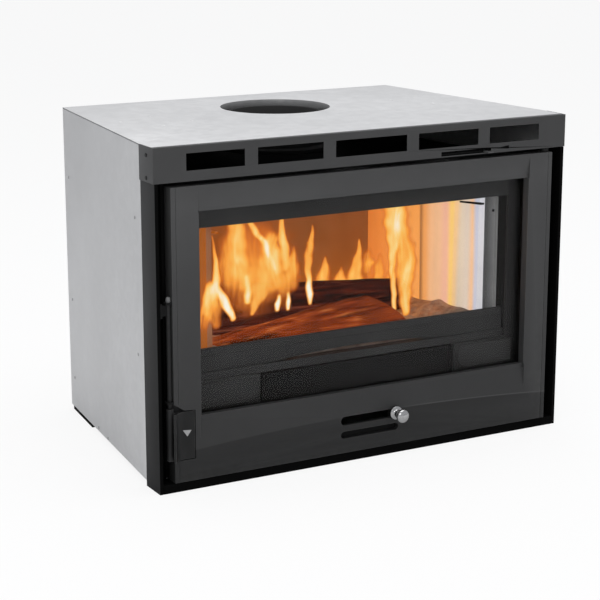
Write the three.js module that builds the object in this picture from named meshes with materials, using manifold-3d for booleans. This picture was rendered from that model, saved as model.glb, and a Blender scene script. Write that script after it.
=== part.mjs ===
// Built-in wood-burning fireplace insert: a steel firebox lined with boards, inside a
// convection casing, behind a black front frame with a glazed door.
// Millimetres. x runs across the front, y back into the wall, z up from the hearth.
// Places are written from the front plane of the frame (y = 0) and from the middle (x = 0);
// the last lines move the whole insert so that its origin is the bottom centre of its box.
import * as THREE from 'three';
import { mergeVertices } from 'three/addons/utils/BufferGeometryUtils.js';
import Module from 'manifold-3d';

// ---------------------------------------------------------------- driving dimensions

const insertWidth = 700;
const insertHeight = 503;
const insertDepth = 454.4; // front plane to the back of the casing
const fitGap = 0.3; // between pieces that are laid, bolted or slid together
const runGap = 0.5; // where a moving piece passes a fixed one closely
const past = 1; // how far a cutting shape runs past what it cuts

// Casing
const casingNarrowing = 47.2; // how far each side runs in towards the back
const casingSheet = 2;
const casingLift = 8.5; // casing floor above the hearth
const lapDepth = 17; // casing side that laps inside the frame
const flueHoleRadius = 88;
const neckLength = 9;
const neckSheet = 2;
const footLength = 110;
const footWidth = 25;
const footFromBack = 4;

// Front frame
const frameSheet = 2;
const flangeDepth = 47.4; // side flange of the frame
const postLip = 5.5; // narrow front edge of a post
const postWebReach = 18.5; // post web towards the door, behind the gap
const sillHeight = 13.5;
const headerHeight = 50.4;
const headerOverhang = 1.5; // header past the posts, each side
const headerTopReturn = 10;

// Header grille: two openings at each side, and between them a middle one of what is left
const grilleAboveFold = 15.2; // header below the openings
const grilleBelowTop = 11;
const grilleEnd = 49.4; // header past the outer openings, from the frame's side
const outerOpening = 91.2;
const innerOpening = 106.6;
const grilleBar = 21.1;
const leverSlotHeight = 6.4;

// Air-wash slide over the door
const washTravel = 78;
const washWindowWidth = 66;
const washWindowDepth = 14;
const washWindowFromLever = 265; // first window to the lever
const washWindowSetback = 4; // windows behind the slide's front edge
const washPlateDepth = 22;
const washPlateMargin = 15; // plate past its windows, each end
const washFront = 5;
const leverFromSide = 145;
const leverWidth = 9;
const leverStop = 2.5; // slot past the lever when it is open
const leverReach = 11; // lever tip in front of the header
const guideLap = 3;
const guideHeight = 4;

// Door
const doorSideGap = 18; // open groove between post and door
const doorSillGap = 1.2;
const doorHeaderGap = 6.7;
const doorProud = 2; // door face in front of the frame
const doorThickness = 22;
const doorWall = 4;
const stileWidth = 42.9;
const topRailHeight = 37.4;
const bottomRailHeight = 95;
const railFall = 4.8; // how far the rails slope back at the glass
const creaseBelowGlass = 39.7; // where the bottom rail starts to slope
const creaseBelowTop = 3; // where the top rail starts to slope
const seamOverlap = 1.4; // rail slope past the glass opening, each side
const railFloor = 3.7; // metal left under the deepest slope
const beadWidth = 7; // flat bead along the outer edge of each stile
const beadGroove = 1.2;
const beadGrooveDepth = 0.8;

// Glass and seals
const glassSetback = 14; // glass behind the door face
const glassThickness = 4;
const glassLap = 7.4; // glass edge behind the frame
const retainerSheet = 2;
const retainerInset = 0.9; // retainer edge outside the glass opening
const ropeWidth = 10;
const ropeDepth = 10;
const ropeInset = 13.5; // rope groove from the door's edge
const ropeBelowGlass = 30.7; // lower run of the rope, under the opening
const ropeFloor = 16; // groove floor behind the door face
const ropeGap = 10; // door back to firebox front
const knifeWidth = 4; // raised rim that presses into the rope

// Door hinge
const hingeInset = 8.5; // pin axis from the door's edge
const hingeY = 8;
const hingePinRadius = 4;
const hingePinHold = 20; // pin inside the door
const hingeBossSize = 16;
const hingeCollarRadius = 7;
const hingePinTail = 7.4; // pin past the frame plate it sits in
const hingeTravel = 36; // depth of the bore in the door

// Door air slots and slider
const slotHalfLength = 51;
const upperSlot = [58, 72];
const lowerSlot = [37.4, 48.5];
const airTravel = 90; // slider and knob, which is also the length of the slider's window
const sliderSheet = 2;
const sliderMargin = 5.5; // slider past the slot it shuts
const sliderLap = 6; // slider past the slot, above and below
const windowInset = 5;
const guideRim = 6; // guide past the slider, all round
const guideLip = 3; // guide over the slider's edge
const tabWidth = 14;
const knobX = 45;
const knobZ = 65.5;
const knobRadius = 11;
const knobFlangeRadius = 10.5;
const knobNeckRadius = 5;
const knobFlange = 2.4;
const knobNeckLength = 3;
const knobFillet = 3.6; // from the flange to the neck
const knobFilletStep = 2;
const knobDome = 6.8; // half height of the rounded head
const knobGap = 1.5; // door face to the knob
const knobReach = 30.5; // knob tip in front of the frame
const stemRadius = 3;
const stemHold = 11.5; // knob's solid front, past the end of its stud

// Door latch
const rodRadius = 3.5;
const rodFromDoor = 4; // rod axis outside the door's edge
const rodY = 4;
const rodTop = 291;
const rodBottom = 52;
const lugSheet = 3;
const lugWidth = 11.4;
const lugReach = 5.7; // lug past the rod axis
const upperLugZ = 280;
const lowerLugZ = 134;
const handlePlate = [48.5, 120];
const handleReach = 32.5; // plate over the stile, from the door's edge
const handleFlat = 18; // the part of it that lies flat
const handleSink = 1; // plate behind the door face
const handleHook = 5; // finger edge runs this far back behind the bend
const handleLip = 2; // slope of the finger edge's end
const handleEdgeInset = 1.5; // finger edge inside the rod's own edge
const handleWeb = 1.9; // plate between the bend and the rod
const handleSheet = 2.5;
const handleFlare = 9.5; // how far the finger edge stands out
const sleeveRadius = 5.5;
const pocketMargin = 1.2;
const pocketCorner = 12; // diagonal cut of the stile above the handle
const pocketDepth = 11;
const pocketWall = 3;
const tongueReach = 10.5; // tongue tip from the rod axis
const tongueWidth = 5;
const tongueZ = [264, 279];
const keeperSheet = 1.5;
const keeperDepth = 18;
const keeperLip = 1.2;
const keeperPast = 3; // keeper above and below the tongue

// Firebox
const fireSheet = 4;
const mouthInset = 15.6; // firebox mouth inside the glass opening, each side
const mouthBelowGlass = 30.5; // top of the mouth under the top of the glass opening
const backSpace = 76.4; // firebox back to the casing
const fireFrontInset = 8; // firebox front inside the frame, each side
const fireFrontAboveSill = 0.5;
const fireFrontBelowHeader = 3.6;
const fireFloorZ = 84;
const fireRoofBelowTop = 67;
const hearthZ = 150;
const hearthThickness = 12;
const spigotInnerRadius = 75;
const spigotWall = 5;
const spigotFlange = 22;
const spigotFlangeSheet = 6;
const spigotTopBelowCasing = 9;
const roofBehindFlue = 2.6; // roof plate left behind the flue opening
const railSheet = 3;
const railWidth = 30;
const railInner = 150;
const railFromFront = 26;
const railFromBack = 13;

// Lining, hearth and what lies in the firebox
const liningThickness = 30;
const liningSetback = 26; // lining behind the firebox front plate
const liningFrontBoard = 144.7; // length of the front one of two side boards
const liningAboveMouth = 6;
const baffleThickness = 20;
const baffleDepth = 244;
const stripWidth = 20.5;
const stripSheet = 2;
const stripFlange = 7;
const stripAboveHearth = 3;
const stripBelowMouth = 6;
const grateHalfWidth = 120;
const grateHalfDepth = 90;
const grateFromBack = 144; // middle of the grate to the lining behind it
const grateLedge = 6;
const grateBars = 8;
const grateSlotHalf = 5;
const ashMouthHalf = 172;
const ashMouthBottom = 92;
const ashGuideSheet = 3;
const ashPanSideGap = 4; // pan to its guides
const ashPanSetback = 3; // pan behind the firebox front
const ashPanBehind = 74; // space behind the pan
const ashPanHeight = 54;
const ashPanSheet = 1.5;
const ashPanBelowHearth = 4;
const airHoleBehindPan = 12;
const airHoleDepth = 30;
const cheekPastMouth = 9; // pads end outside the firebox mouth's sides
const cheekFromAsh = 4; // pads beside the ash mouth
const cheekZ = [111, 147.5];
const cheekThickness = 3.5;
const airInlet = [38, 72];
const airInletHalf = 60;
const fenceInset = 3; // fence inside the firebox mouth, each side
const fenceSetback = 3;
const fenceHeight = 34.7;
const fenceStep = 10.5; // face that stands back, under the top
const fenceSheet = 6;
const fenceFoot = 13.2;
const fenceArchHalf = 150; // the fence's lower edge rises in its middle
const fenceArchRise = 8;
const fenceArchSteps = 24;
const deflectorInset = 42;
const deflectorDrop = 14;
const deflectorReach = 76;
const deflectorSheet = 3;
const frontLogInset = [46, 146]; // log ends from the two sides of the firebox mouth
const frontLogSetback = [74, 78]; // its axis behind the firebox front, at each end
const frontLogRadius = [14, 36];
const frontLogLean = 1.25; // its split end leans this far back for its height
const rearLogInset = [96, 82];
const rearLogBeforeBack = [152, 158];
const rearLogRadius = [42, 30];
const logSwell = 1.2;

// Flat faces round a turned or bored shape
const rodFacets = 24;
const studFacets = 20;
const knobFacets = 28;
const tubeFacets = 48;
const holeFacets = 72;

// ---------------------------------------------------------------- sizes that follow

const halfWidth = insertWidth / 2;
const headerBottom = insertHeight - headerHeight;
const casingTopUnder = insertHeight - casingSheet;
const casingTaper = casingNarrowing / (insertDepth - flangeDepth);
const doorHalf = halfWidth - postLip - doorSideGap;
const doorBottom = sillHeight + doorSillGap;
const doorTop = headerBottom - doorHeaderGap;
const doorFace = -doorProud;
const doorBack = doorFace + doorThickness;
const glassHalf = doorHalf - stileWidth;
const glassBottom = doorBottom + bottomRailHeight;
const glassTop = doorTop - topRailHeight;
const glassSeat = doorFace + glassSetback;
const fireFace = doorBack + ropeGap;
const fireInside = fireFace + fireSheet;
const fireBackY = insertDepth - backSpace - fireSheet;
const mouthHalf = glassHalf - mouthInset;
const mouthTop = glassTop - mouthBelowGlass;
const fireRoofZ = insertHeight - fireRoofBelowTop;
const flueCentreY = fireBackY + fireSheet - roofBehindFlue - spigotInnerRadius;
const liningFront = fireInside + liningSetback;
const liningBackFace = fireBackY - liningThickness;
const hearthTop = hearthZ + hearthThickness;
const ashPanFront = fireInside + ashPanSetback;
const ashPanBack = fireBackY - ashPanBehind;
const postWebFront = fireFace - fitGap - frameSheet;
const railBack = doorFace + railFall + railFloor; // inside face of the rails
const rodX = -(doorHalf + rodFromDoor);
const handleRight = handleReach - doorHalf;
const handleBend = handleRight - handleFlat;
const hingeX = doorHalf - hingeInset;
const leverX = halfWidth - leverFromSide;

// Half width of the casing, and of the firebox inside its side plates, at a depth y.
const casingHalfAt = (y) => halfWidth - casingTaper * (y - flangeDepth);
const fireHalfAt = (y) => mouthHalf - casingTaper * (y - fireInside);
const slant = Math.hypot(1, casingTaper); // wall thickness, measured straight across x

// ---------------------------------------------------------------- shaping

const wasm = await Module();
wasm.setup();

// A closed geometry as a solid: vertices merged, empty triangles dropped, faces turned out.
function solid(geometry) {
  const bare = geometry.clone();
  bare.deleteAttribute('normal');
  bare.deleteAttribute('uv');
  const merged = mergeVertices(bare, 1e-4);
  const vertices = merged.attributes.position.array;
  const corners = [];
  for (let i = 0; i < merged.index.count; i += 3) {
    const [a, b, c] = merged.index.array.slice(i, i + 3);
    if (a !== b && b !== c && c !== a) corners.push(a, b, c);
  }
  const at = (i) => new THREE.Vector3().fromArray(vertices, 3 * i);
  let volume = 0;
  for (let i = 0; i < corners.length; i += 3) {
    volume += at(corners[i]).dot(at(corners[i + 1]).cross(at(corners[i + 2])));
  }
  return new wasm.Manifold(new wasm.Mesh({
    numProp: 3,
    vertProperties: Float32Array.from(vertices),
    triVerts: Uint32Array.from(volume < 0 ? corners.reverse() : corners),
  }));
}

function geometryOf(shape) {
  const mesh = shape.getMesh();
  const geometry = new THREE.BufferGeometry();
  geometry.setAttribute('position', new THREE.BufferAttribute(Float32Array.from(mesh.vertProperties), 3));
  geometry.setIndex(new THREE.BufferAttribute(Uint32Array.from(mesh.triVerts), 1));
  return geometry;
}

const join = (first, ...others) => others.reduce((sum, shape) => sum.add(shape), first);
const cut = (first, ...others) => others.reduce((rest, shape) => rest.subtract(shape), first);

function box([x0, x1], [y0, y1], [z0, z1]) {
  const geometry = new THREE.BoxGeometry(x1 - x0, y1 - y0, z1 - z0);
  geometry.translate((x0 + x1) / 2, (y0 + y1) / 2, (z0 + z1) / 2);
  return solid(geometry);
}

function extruded(outline, depth) {
  const shape = outline instanceof THREE.Shape
    ? outline
    : new THREE.Shape(outline.map(([u, v]) => new THREE.Vector2(u, v)));
  return new THREE.ExtrudeGeometry(shape, { depth, bevelEnabled: false, curveSegments: 8 });
}

// An outline in x and y, raised from z0 to z1.
function column(outline, [z0, z1]) {
  return solid(extruded(outline, z1 - z0).translate(0, 0, z0));
}

// An outline in y and z, drawn along x from x0 to x1.
function lengthwise(outline, [x0, x1]) {
  const turn = new THREE.Matrix4().makeBasis(
    new THREE.Vector3(0, 1, 0), new THREE.Vector3(0, 0, 1), new THREE.Vector3(1, 0, 0));
  return solid(extruded(outline, x1 - x0).applyMatrix4(turn).translate(x0, 0, 0));
}

// An outline in y and x, raised from z0 to z1.
function crosswise(outline, [z0, z1]) {
  const turn = new THREE.Matrix4().makeBasis(
    new THREE.Vector3(0, 1, 0), new THREE.Vector3(1, 0, 0), new THREE.Vector3(0, 0, 1));
  return solid(extruded(outline, z1 - z0).applyMatrix4(turn).translate(0, 0, z0));
}

// An outline in x and z, drawn back along y from y0 to y1.
function facing(outline, [y0, y1]) {
  return solid(extruded(outline, y1 - y0).rotateX(Math.PI / 2).translate(0, y1, 0));
}

function uprightRod(radius, [x, y], [z0, z1], facets = rodFacets) {
  const geometry = new THREE.CylinderGeometry(radius, radius, z1 - z0, facets);
  return solid(geometry.rotateX(Math.PI / 2).translate(x, y, (z0 + z1) / 2));
}

// A band around a rectangle: its outer edge, less a border of the same width all round.
function band(half, [z0, z1], border, [y0, y1]) {
  return cut(
    box([-half, half], [y0, y1], [z0, z1]),
    box([border - half, half - border], [y0 - past, y1 + past], [z0 + border, z1 - border]));
}

// A slot with round ends, whose long side runs along the outline's first axis.
function slotOutline(x0, x1, z0, z1) {
  const radius = (z1 - z0) / 2;
  const shape = new THREE.Shape();
  shape.moveTo(x0 + radius, z0);
  shape.lineTo(x1 - radius, z0);
  shape.absarc(x1 - radius, z0 + radius, radius, -Math.PI / 2, Math.PI / 2, false);
  shape.lineTo(x0 + radius, z1);
  shape.absarc(x0 + radius, z0 + radius, radius, Math.PI / 2, Math.PI * 1.5, false);
  return shape;
}

const mirrored = (outline) => outline.map(([x, v]) => [-x, v]);
const sides = [['left', mirrored, -1], ['right', (outline) => outline, 1]];

// ---------------------------------------------------------------- finishes and pieces

const finishes = {
  galvanised: { color: 0xb0b0b0, roughness: 0.45, metalness: 0.6 },
  blackSheet: { color: 0x353535, roughness: 0.7, metalness: 0.2 },
  blackIron: { color: 0x3a3a3a, roughness: 0.65, metalness: 0.3 },
  darkInside: { color: 0x2a2a2a, roughness: 0.85, metalness: 0.1 },
  polished: { color: 0xe6e6e6, roughness: 0.15, metalness: 1 },
  greySteel: { color: 0x808080, roughness: 0.5, metalness: 0.7 },
  board: { color: 0xe8b070, roughness: 0.9, metalness: 0 },
  rope: { color: 0x55524c, roughness: 1, metalness: 0 },
  bark: { color: 0x8a4a20, roughness: 0.95, metalness: 0 },
};

const insert = new THREE.Group();
const door = new THREE.Group();
const latch = new THREE.Group();
const airSlide = new THREE.Group();
const washSlide = new THREE.Group();
insert.add(door, washSlide);
door.add(latch, airSlide);

function addPiece(parent, name, shape, finish) {
  const mesh = new THREE.Mesh(geometryOf(shape), new THREE.MeshStandardMaterial(finishes[finish]));
  mesh.name = name;
  parent.add(mesh);
  return mesh;
}

// ---------------------------------------------------------------- casing

// Each side is one folded sheet, running in from the frame to the narrower back.
function addCasing() {
  const lapOuter = halfWidth - frameSheet - fitGap;
  const lapInner = lapOuter - casingSheet;
  const start = flangeDepth + fitGap;
  const lapEnd = start + casingSheet;
  const inner = (y) => casingHalfAt(y) - casingSheet * slant;
  const sideOutline = [
    [casingHalfAt(start), start], [casingHalfAt(insertDepth), insertDepth],
    [inner(insertDepth), insertDepth], [lapInner, lapEnd],
    [lapInner, start - lapDepth], [lapOuter, start - lapDepth], [lapOuter, start],
  ];
  const wallTop = casingTopUnder - fitGap;
  for (const [side, placed] of sides) {
    const wall = column(placed(sideOutline), [casingLift, wallTop]);
    addPiece(insert, `casing_${side}`, wall, 'galvanised');
  }

  const backFront = insertDepth - casingSheet;
  const backHalf = inner(insertDepth) - fitGap;
  const back = box([-backHalf, backHalf], [backFront, insertDepth], [casingLift, wallTop]);
  addPiece(insert, 'casing_back', back, 'galvanised');

  const floorBack = backFront - fitGap;
  const lapLine = lapInner - fitGap;
  const floorInner = (y) => Math.min(inner(y), lapLine + (lapEnd - y) * casingTaper) - fitGap;
  const floorFront = fireInside + casingSheet;
  const floorOutline = [
    [lapLine, floorFront], [lapLine, lapEnd], [floorInner(floorBack), floorBack],
    [-floorInner(floorBack), floorBack], [-lapLine, lapEnd], [-lapLine, floorFront],
  ];
  const floor = column(floorOutline, [casingLift, casingLift + casingSheet]);
  addPiece(insert, 'casing_bottom', floor, 'galvanised');

  const topFront = headerTopReturn + fitGap;
  const topInner = halfWidth + headerOverhang - frameSheet - fitGap;
  const topOutline = [
    [topInner, topFront], [topInner, start], [casingHalfAt(start), start],
    [casingHalfAt(insertDepth), insertDepth],
  ];
  const sheet = column([...topOutline, ...mirrored(topOutline).reverse()], [casingTopUnder, insertHeight]);
  const flueAxis = [0, flueCentreY];
  const neckBottom = casingTopUnder - neckLength;
  const neck = uprightRod(flueHoleRadius + neckSheet, flueAxis, [neckBottom, insertHeight], holeFacets);
  const hole = uprightRod(flueHoleRadius, flueAxis, [neckBottom - past, insertHeight + past], holeFacets);
  addPiece(insert, 'casing_top', cut(join(sheet, neck), hole), 'galvanised');

  const footBack = insertDepth - footFromBack;
  const footFront = footBack - footLength;
  const footOuter = (y) => casingHalfAt(y) - casingSheet;
  const footOutline = [
    [footOuter(footFront), footFront], [footOuter(footBack), footBack],
    [footOuter(footBack) - footWidth, footBack], [footOuter(footFront) - footWidth, footFront],
  ];
  for (const [side, placed] of sides) {
    const foot = column(placed(footOutline), [0, casingLift - fitGap]);
    addPiece(insert, `foot_rear_${side}`, foot, 'blackSheet');
  }
}

// ---------------------------------------------------------------- front frame

function addFrame() {
  const lipInner = halfWidth - postLip;
  const returnOuter = lipInner + frameSheet;
  const flangeInner = halfWidth - frameSheet;
  const webEnd = returnOuter - postWebReach;
  const webBack = postWebFront + frameSheet;
  const postOutline = [
    [halfWidth, 0], [halfWidth, flangeDepth], [flangeInner, flangeDepth], [flangeInner, frameSheet],
    [returnOuter, frameSheet], [returnOuter, webBack], [webEnd, webBack], [webEnd, postWebFront],
    [lipInner, postWebFront], [lipInner, 0],
  ];
  for (const [side, placed] of sides) {
    const post = column(placed(postOutline), [0, headerBottom - fitGap]);
    addPiece(insert, `frame_post_${side}`, post, 'blackSheet');
  }

  // The sill is a channel, open to the back, with a hole for the lower hinge pin.
  const sillHalf = lipInner - fitGap;
  const sillBack = postWebFront - fitGap;
  const sillOutline = [
    [0, 0], [0, sillHeight], [sillBack, sillHeight], [sillBack, sillHeight - frameSheet],
    [frameSheet, sillHeight - frameSheet], [frameSheet, frameSheet], [sillBack, frameSheet],
    [sillBack, 0],
  ];
  const pinHole = uprightRod(
    hingePinRadius + fitGap, [hingeX, hingeY], [sillHeight - frameSheet - past, sillHeight + past]);
  const sill = cut(lengthwise(sillOutline, [-sillHalf, sillHalf]), pinHole);
  addPiece(insert, 'frame_sill', sill, 'blackSheet');
}

// Window spans of the air-wash slide, left to right.
const washPitch = 2 * washTravel;
const washWindows = [0, 1].map((i) => {
  const start = leverX - washWindowFromLever + i * washPitch;
  return [start, start + washWindowWidth];
});
const washWindowFront = washFront + washWindowSetback;
const washWindowY = [washWindowFront, washWindowFront + washWindowDepth];

// Grille openings, left to right.
function grilleSpans() {
  const outerEnd = halfWidth - grilleEnd;
  const outerStart = outerEnd - outerOpening;
  const innerEnd = outerStart - grilleBar;
  const innerStart = innerEnd - innerOpening;
  const middle = innerStart - grilleBar;
  return [
    [-outerEnd, -outerStart], [-innerEnd, -innerStart], [-middle, middle],
    [innerStart, innerEnd], [outerStart, outerEnd],
  ];
}

function addHeader() {
  const half = halfWidth + headerOverhang;
  const inner = half - frameSheet;
  const returnTop = headerBottom + frameSheet;
  const bottomBack = fireFace - fitGap;
  const front = box([-half, half], [0, frameSheet], [headerBottom, insertHeight]);
  const top = box([-half, half], [0, headerTopReturn], [insertHeight - frameSheet, insertHeight]);
  const bottom = box([-half, half], [0, bottomBack], [headerBottom, returnTop]);
  const ends = [-1, 1].map((side) => {
    const span = side < 0 ? [-half, -inner] : [inner, half];
    return box(span, [0, flangeDepth], [headerBottom, insertHeight]);
  });
  const grilleZ = [headerBottom + grilleAboveFold, insertHeight - grilleBelowTop];
  const cuts = grilleSpans().map((span) => box(span, [-past, frameSheet + past], grilleZ));
  const leverSpan = [leverX - leverWidth / 2, leverX + leverWidth / 2];
  const leverSlot = [leverSpan[0] - washTravel - runGap, leverSpan[1] + leverStop];
  cuts.push(box(leverSlot, [-past, frameSheet + past], [returnTop, returnTop + leverSlotHeight]));
  const foldZ = [headerBottom - past, returnTop + past];
  for (const span of washWindows) cuts.push(box(span, washWindowY, foldZ));
  cuts.push(uprightRod(hingePinRadius + fitGap, [hingeX, hingeY], foldZ));
  addPiece(insert, 'header_grille', cut(join(front, top, bottom, ...ends), ...cuts), 'blackSheet');

  // A flat slide with two windows lies on the header's bottom fold. Its lever comes out through
  // the slot in the front. It is open with the lever to the right and shut one travel to the left.
  const slideZ = [returnTop + fitGap, returnTop + fitGap + frameSheet];
  const slideBack = washFront + washPlateDepth;
  const slideLeft = washWindows[0][0] - washPlateMargin;
  const slideRight = washWindows[1][1] + washTravel + fitGap;
  const plate = box([slideLeft, slideRight], [washFront, slideBack], slideZ);
  const windows = washWindows.map((span) => box(span, washWindowY, [slideZ[0] - past, slideZ[1] + past]));
  addPiece(washSlide, 'air_wash_slide', cut(plate, ...windows), 'darkInside');
  const lever = box(leverSpan, [-leverReach, washFront - fitGap], slideZ);
  addPiece(washSlide, 'air_wash_lever', lever, 'greySteel');

  const guideFront = slideBack + fitGap;
  const guideTop = slideZ[0] + guideHeight;
  const guideOutline = [
    [guideFront, slideZ[0]], [bottomBack, slideZ[0]], [bottomBack, guideTop],
    [guideFront - guideLap, guideTop], [guideFront - guideLap, slideZ[1] + fitGap],
    [guideFront, slideZ[1] + fitGap],
  ];
  const guide = lengthwise(guideOutline, [slideLeft - washTravel, slideRight]);
  addPiece(insert, 'air_wash_guide', guide, 'darkInside');
}

// ---------------------------------------------------------------- firebox

function addFirebox() {
  const outerAt = (y) => fireHalfAt(y) + fireSheet * slant;
  const plateFront = fireInside + fitGap;
  const plateEnd = fireBackY + fireSheet;

  // Front plate: the mouth, the ash door below it, an air inlet, and the rim for the rope.
  const frontHalf = halfWidth - fireFrontInset;
  const frontZ = [sillHeight + fireFrontAboveSill, headerBottom - fireFrontBelowHeader];
  const frontPlate = box([-frontHalf, frontHalf], [fireFace, fireInside], frontZ);
  const through = [fireFace - past, fireInside + past];
  const rimFront = ropeBack() + fitGap;
  const rimInset = ropeInset + (ropeWidth - knifeWidth) / 2;
  const [ropeLow, ropeHigh] = ropeRun().z;
  const rimZ = [ropeLow + rimInset - ropeInset, ropeHigh - rimInset + ropeInset];
  const rim = band(doorHalf - rimInset, rimZ, knifeWidth, [rimFront, fireFace]);
  const front = cut(
    join(frontPlate, rim),
    box([-mouthHalf, mouthHalf], through, [hearthZ, mouthTop]),
    box([-ashMouthHalf, ashMouthHalf], through, [ashMouthBottom, hearthZ + past]),
    box([-airInletHalf, airInletHalf], through, airInlet));
  addPiece(insert, 'firebox_front', front, 'darkInside');

  const wallZ = [fireFloorZ + fireSheet + fitGap, fireRoofZ - fitGap];
  const wallOutline = [
    [fireHalfAt(plateFront), plateFront], [outerAt(plateFront), plateFront],
    [outerAt(plateEnd), plateEnd], [fireHalfAt(plateEnd), plateEnd],
  ];
  for (const [side, placed] of sides) {
    addPiece(insert, `firebox_${side}`, column(placed(wallOutline), wallZ), 'darkInside');
  }
  const backHalf = fireHalfAt(plateEnd) - fitGap;
  const back = box([-backHalf, backHalf], [fireBackY, plateEnd], wallZ);
  addPiece(insert, 'firebox_back', back, 'darkInside');

  const plateHalf = [[outerAt(plateFront), plateFront], [outerAt(plateEnd), plateEnd]];
  const plateOutline = [...plateHalf, ...mirrored(plateHalf).reverse()];
  const airHole = [ashPanBack + airHoleBehindPan, ashPanBack + airHoleBehindPan + airHoleDepth];
  const floor = cut(
    column(plateOutline, [fireFloorZ, fireFloorZ + fireSheet]),
    box([-airInletHalf, airInletHalf], airHole, [fireFloorZ - past, fireFloorZ + fireSheet + past]));
  addPiece(insert, 'firebox_floor', floor, 'darkInside');
  const flueAxis = [0, flueCentreY];
  const roofZ = [fireRoofZ, fireRoofZ + fireSheet];
  const roofHole = uprightRod(spigotInnerRadius, flueAxis, [roofZ[0] - past, roofZ[1] + past], tubeFacets);
  addPiece(insert, 'firebox_roof', cut(column(plateOutline, roofZ), roofHole), 'darkInside');

  const spigotZ = roofZ[1] + fitGap;
  const spigotTop = insertHeight - spigotTopBelowCasing;
  const tubeRadius = spigotInnerRadius + spigotWall;
  const spigot = cut(
    join(
      uprightRod(tubeRadius, flueAxis, [spigotZ, spigotTop], tubeFacets),
      uprightRod(tubeRadius + spigotFlange, flueAxis, [spigotZ, spigotZ + spigotFlangeSheet], tubeFacets)),
    uprightRod(spigotInnerRadius, flueAxis, [spigotZ - past, spigotTop + past], tubeFacets));
  addPiece(insert, 'flue_spigot', spigot, 'blackIron');

  // Two channels carry the firebox on the casing floor.
  const railZ = [casingLift + casingSheet + fitGap, fireFloorZ - fitGap];
  const railY = [fireFace + railFromFront, fireBackY - railFromBack];
  const railOutline = [
    [railInner, railZ[0]], [railInner + railWidth, railZ[0]],
    [railInner + railWidth, railZ[0] + railSheet], [railInner + railSheet, railZ[0] + railSheet],
    [railInner + railSheet, railZ[1] - railSheet], [railInner + railWidth, railZ[1] - railSheet],
    [railInner + railWidth, railZ[1]], [railInner, railZ[1]],
  ];
  for (const [side, placed] of sides) {
    const rail = facing(placed(railOutline), railY);
    addPiece(insert, `support_rail_${side}`, rail, 'darkInside');
  }
}

// ---------------------------------------------------------------- lining and hearth

function addLining() {
  const liningTop = mouthTop + liningAboveMouth;
  const boardZ = [hearthTop + fitGap, liningTop];
  const outer = (y) => fireHalfAt(y) - fitGap;
  const inner = (y) => outer(y) - liningThickness * slant;
  const backFront = liningBackFace;
  const boardEnd = backFront - fitGap;
  const joint = liningFront + liningFrontBoard;
  const boards = [['front', liningFront, joint], ['rear', joint + fitGap, boardEnd]];
  for (const [side, placed] of sides) {
    for (const [place, y0, y1] of boards) {
      const outline = [[inner(y0), y0], [outer(y0), y0], [outer(y1), y1], [inner(y1), y1]];
      addPiece(insert, `lining_${side}_${place}`, column(placed(outline), boardZ), 'board');
    }
  }
  const backHalf = outer(fireBackY);
  const back = box([-backHalf, backHalf], [backFront, fireBackY - fitGap], boardZ);
  addPiece(insert, 'lining_back', back, 'board');

  // Angle strips hold the front edges of the side boards.
  const stripBack = liningFront - fitGap;
  const stripOuter = (y) => fireHalfAt(y) - fitGap;
  const stripFront = stripBack - stripSheet;
  const flangeFront = stripBack - stripFlange;
  const stripOutline = [
    [stripOuter(stripBack) - stripWidth, stripBack], [stripOuter(stripBack), stripBack],
    [stripOuter(flangeFront), flangeFront], [stripOuter(flangeFront) - stripSheet, flangeFront],
    [stripOuter(stripFront) - stripSheet, stripFront],
    [stripOuter(stripBack) - stripWidth, stripFront],
  ];
  const stripZ = [hearthTop + stripAboveHearth, mouthTop - stripBelowMouth];
  for (const [side, placed] of sides) {
    addPiece(insert, `lining_strip_${side}`, column(placed(stripOutline), stripZ), 'greySteel');
  }

  const baffleZ = [liningTop + fitGap, liningTop + fitGap + baffleThickness];
  const baffleFront = fireBackY - baffleDepth;
  const baffleBack = fireBackY - fitGap;
  const baffleHalf = [[outer(baffleFront), baffleFront], [outer(baffleBack), baffleBack]];
  const baffle = column([...baffleHalf, ...mirrored(baffleHalf).reverse()], baffleZ);
  addPiece(insert, 'baffle_plate', baffle, 'board');

  // A thin plate under the front of the firebox roof turns the flames back.
  const deflectorFront = fireInside + fitGap;
  const deflectorTop = mouthTop + deflectorSheet;
  const deflectorEnd = deflectorFront + deflectorReach;
  const deflectorOutline = [
    [deflectorFront, deflectorTop + deflectorSheet], [deflectorFront, deflectorTop],
    [deflectorEnd, deflectorTop - deflectorDrop],
    [deflectorEnd, deflectorTop - deflectorDrop + deflectorSheet],
  ];
  const deflectorHalf = mouthHalf - deflectorInset;
  const deflector = lengthwise(deflectorOutline, [-deflectorHalf, deflectorHalf]);
  addPiece(insert, 'air_deflector', deflector, 'darkInside');
}

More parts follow.
